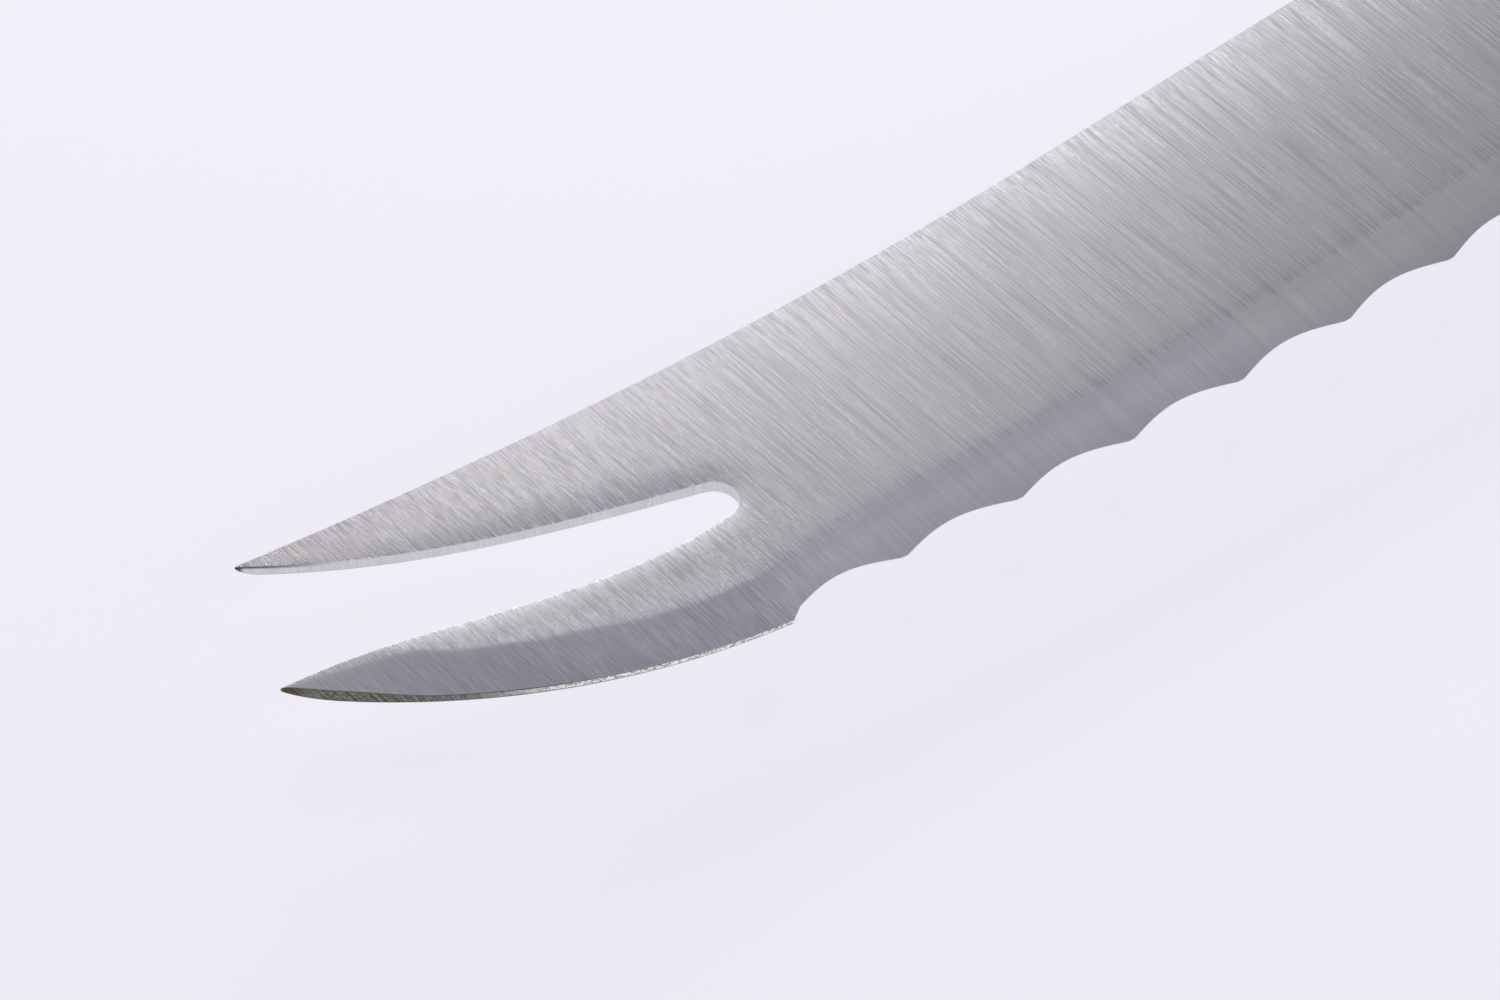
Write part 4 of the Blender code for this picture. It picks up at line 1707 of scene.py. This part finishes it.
@dataclass
class Handle:
    """The two scales and the three rivets that hold them to the tang."""

    layout: Layout
    outline: NodeProbe
    shank_radius: float = 0.0016
    shank_clearance: float = 0.0003
    tube_wall: float = 0.0008
    head_height: float = 0.0022
    bore_clearance: float = 0.00005
    places: tuple[str, ...] = ("front", "middle", "rear")

    @property
    def bore_radius(self) -> float:
        """Return the radius of the rivets' holes."""
        return self.shank_radius + self.shank_clearance + self.tube_wall + self.bore_clearance

    def centres(self) -> list[Vector]:
        """Return the middle of each rivet."""
        boxes = [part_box(f"{place}_rivet_shank") for place in self.places]
        return [(low + high) / 2 for low, high in boxes]

    def build(self, wood: HandleWood, steel: RivetSteel) -> None:
        """Build the scales and the rivets."""
        centres = self.centres()
        low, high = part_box(f"{self.places[0]}_rivet_shank")
        scale = HandleScale(
            layout=self.layout,
            probe=self.outline,
            rivets=centres,
            head_radius=(high.x - low.x) / 2,
            head_height=self.head_height,
            bore_radius=self.bore_radius,
        )
        left = scale.build("left_wood_scale", wood.material())
        right = scale.mirrored(left, "right_wood_scale")
        left.hand_over("handle_wood", "left_scale")
        right.hand_over("handle_wood", "right_scale")
        steel_material = steel.material()
        for half in RivetHalf:
            self._rivets(half, centres, steel_material)

    def _rivets(
        self, half: RivetHalf, centres: Sequence[Vector], steel: bpy.types.Material
    ) -> None:
        """Model one rivet half and copy it to the other places.

        Args:
            half: which half.
            centres: the middle of each rivet.
            steel: the material of the rivets.
        """
        nodes = [f"{place}_rivet_{half.value}" for place in self.places]
        names = [f"{place}_steel_{half.value}" for place in self.places]
        stem = self.shank_radius
        if half is RivetHalf.BARREL:
            stem += self.shank_clearance
        rivet = Rivet(nodes[0], half, stem, self.tube_wall, self.head_height)
        first = rivet.build(names[0], steel)
        pieces = [first]
        for name, centre in zip(names[1:], centres[1:]):
            shift = centre - centres[0]
            pieces.append(first.copy(name, (shift.x, shift.y, 0.0)))
        for piece, node in zip(pieces, nodes):
            piece.hand_over("rivet_steel", node)


@dataclass(frozen=True)
class SoftBox:
    """One soft studio light, given by its direction as seen from the blade."""

    name: str
    azimuth: float
    elevation: float
    distance: float
    width: float
    depth: float
    power: float
    colour: Colour = WHITE

    def build(self, aim: Vector) -> None:
        """Put up the light.

        Args:
            aim: the point that the light faces.
        """
        way = heading(self.azimuth, self.elevation)
        light = bpy.data.lights.new(self.name, "AREA")
        light.shape = "RECTANGLE"
        light.size = self.width
        light.size_y = self.depth
        light.energy = self.power
        light.color = self.colour
        item = bpy.data.objects.new(self.name, light)
        bpy.context.scene.collection.objects.link(item)
        item.location = aim + way * self.distance
        item.rotation_euler = (-way).to_track_quat("-Z", "Y").to_euler()
        item.visible_camera = False


@dataclass
class Studio:
    """The pale floor, the soft light and the camera."""

    floor_radius: float = 8.0
    floor_sides: int = 128
    floor_roughness: float = 0.9
    floor_sheen: float = 0.1
    floor_colour: Colour = (0.32, 0.32, 0.33)
    glow_colour: Colour = (0.790, 0.780, 0.840)
    floor_glow: float = 0.872
    ambient: Colour = (0.12, 0.12, 0.1275)
    lit_point: Point = (-0.19, 0.0, 0.01)
    boxes: tuple[SoftBox, ...] = (
        SoftBox("low_box", 48.0, 16.0, 0.5, 0.11, 0.11, 0.512, (0.987, 0.994, 1.0)),
        SoftBox("wide_box", 40.0, 20.0, 0.5, 0.22, 0.22, 0.513, (1.0, 0.98, 0.93)),
        SoftBox("side_box", 62.0, 16.0, 0.5, 0.11, 0.11, 0.158, (0.99, 1.0, 0.96)),
        SoftBox("key_box", 48.0, 28.0, 0.5, 0.11, 0.11, 0.043, (1.0, 0.95, 0.865)),
        SoftBox("inner_box", 34.0, 28.0, 0.5, 0.11, 0.11, 0.052, (1.0, 0.56, 0.39)),
        SoftBox("upper_box", 70.0, 60.0, 0.5, 0.22, 0.22, 0.0485, (1.0, 0.94, 0.64)),
        SoftBox("top_box", 34.0, 70.0, 0.5, 0.22, 0.22, 0.106, (0.83, 0.85, 1.0)),
        SoftBox("shade_box", -20.0, 30.0, 0.5, 0.11, 0.11, 0.095),
        SoftBox("ceiling_box", 0.0, 88.0, 0.8, 0.40, 0.40, 0.645, (0.74, 0.725, 1.0)),
        SoftBox("right_box", 137.0, 24.0, 4.0, 3.60, 3.00, 21.0),
        SoftBox("back_box", 185.0, 24.0, 4.0, 3.60, 3.00, 21.0),
        SoftBox("left_box", 233.0, 24.0, 4.0, 3.60, 3.00, 21.0),
    )
    azimuth: float = -41.195
    elevation: float = 45.7
    lens: float = 288.0
    sensor: float = 36.0
    distance: float = 1.0274
    target: Point = (-0.2192, 0.00055, 0.009)

    def build(self) -> None:
        """Lay the floor, put up the lights and aim the camera."""
        self._floor()
        self._lights()
        self._camera()

    def _floor(self) -> None:
        """Lay a plain pale floor under the knife."""
        Workpiece.clear_selection()
        bpy.ops.mesh.primitive_circle_add(
            vertices=self.floor_sides, radius=self.floor_radius, fill_type="NGON"
        )
        piece = Workpiece("floor")
        graph = Graph("pale_floor")
        graph.feed(graph.shader, "Base Color", (*self.floor_colour, 1.0))
        graph.feed(graph.shader, "Roughness", self.floor_roughness)
        graph.feed(graph.shader, "Specular IOR Level", self.floor_sheen)
        graph.feed(graph.shader, "Emission Color", (*self.glow_colour, 1.0))
        graph.feed(graph.shader, "Emission Strength", self.floor_glow)
        piece.dress(graph.material)

    def _lights(self) -> None:
        """Put up the soft boxes and the even light of the room."""
        world = bpy.data.worlds.new("studio")
        world.use_nodes = True
        background = world.node_tree.nodes["Background"]
        background.inputs["Color"].default_value = (*self.ambient, 1.0)
        bpy.context.scene.world = world
        for box in self.boxes:
            box.build(Vector(self.lit_point))

    def _camera(self) -> None:
        """Aim a long lens at the front of the blade, as in the photograph."""
        back = heading(self.azimuth, self.elevation)
        back.y = -back.y
        data = bpy.data.cameras.new("camera")
        data.lens = self.lens
        data.sensor_width = self.sensor
        item = bpy.data.objects.new("camera", data)
        bpy.context.scene.collection.objects.link(item)
        item.location = Vector(self.target) + back * self.distance
        item.rotation_euler = (-back).to_track_quat("-Z", "Y").to_euler()
        bpy.context.scene.camera = item


def main() -> None:
    """Build the knife around the frame, and the studio around the knife."""
    logging.basicConfig(level=logging.INFO, format="%(name)s: %(message)s")
    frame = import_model()
    bpy.context.scene.view_settings.view_transform = "Standard"
    layout = Layout.from_frame()
    handle = Handle(layout, NodeProbe(frame["nodes"]["left_scale"]))
    form = BladeForm(layout, NodeProbe(frame["nodes"]["blade"]))
    blade = Blade(form, handle.centres(), handle.bore_radius)
    blade.build(BrushedSteel(), WallSteel(), BellySteel())
    handle.build(HandleWood(), RivetSteel())
    Studio().build()


if __name__ == "__main__":
    main()
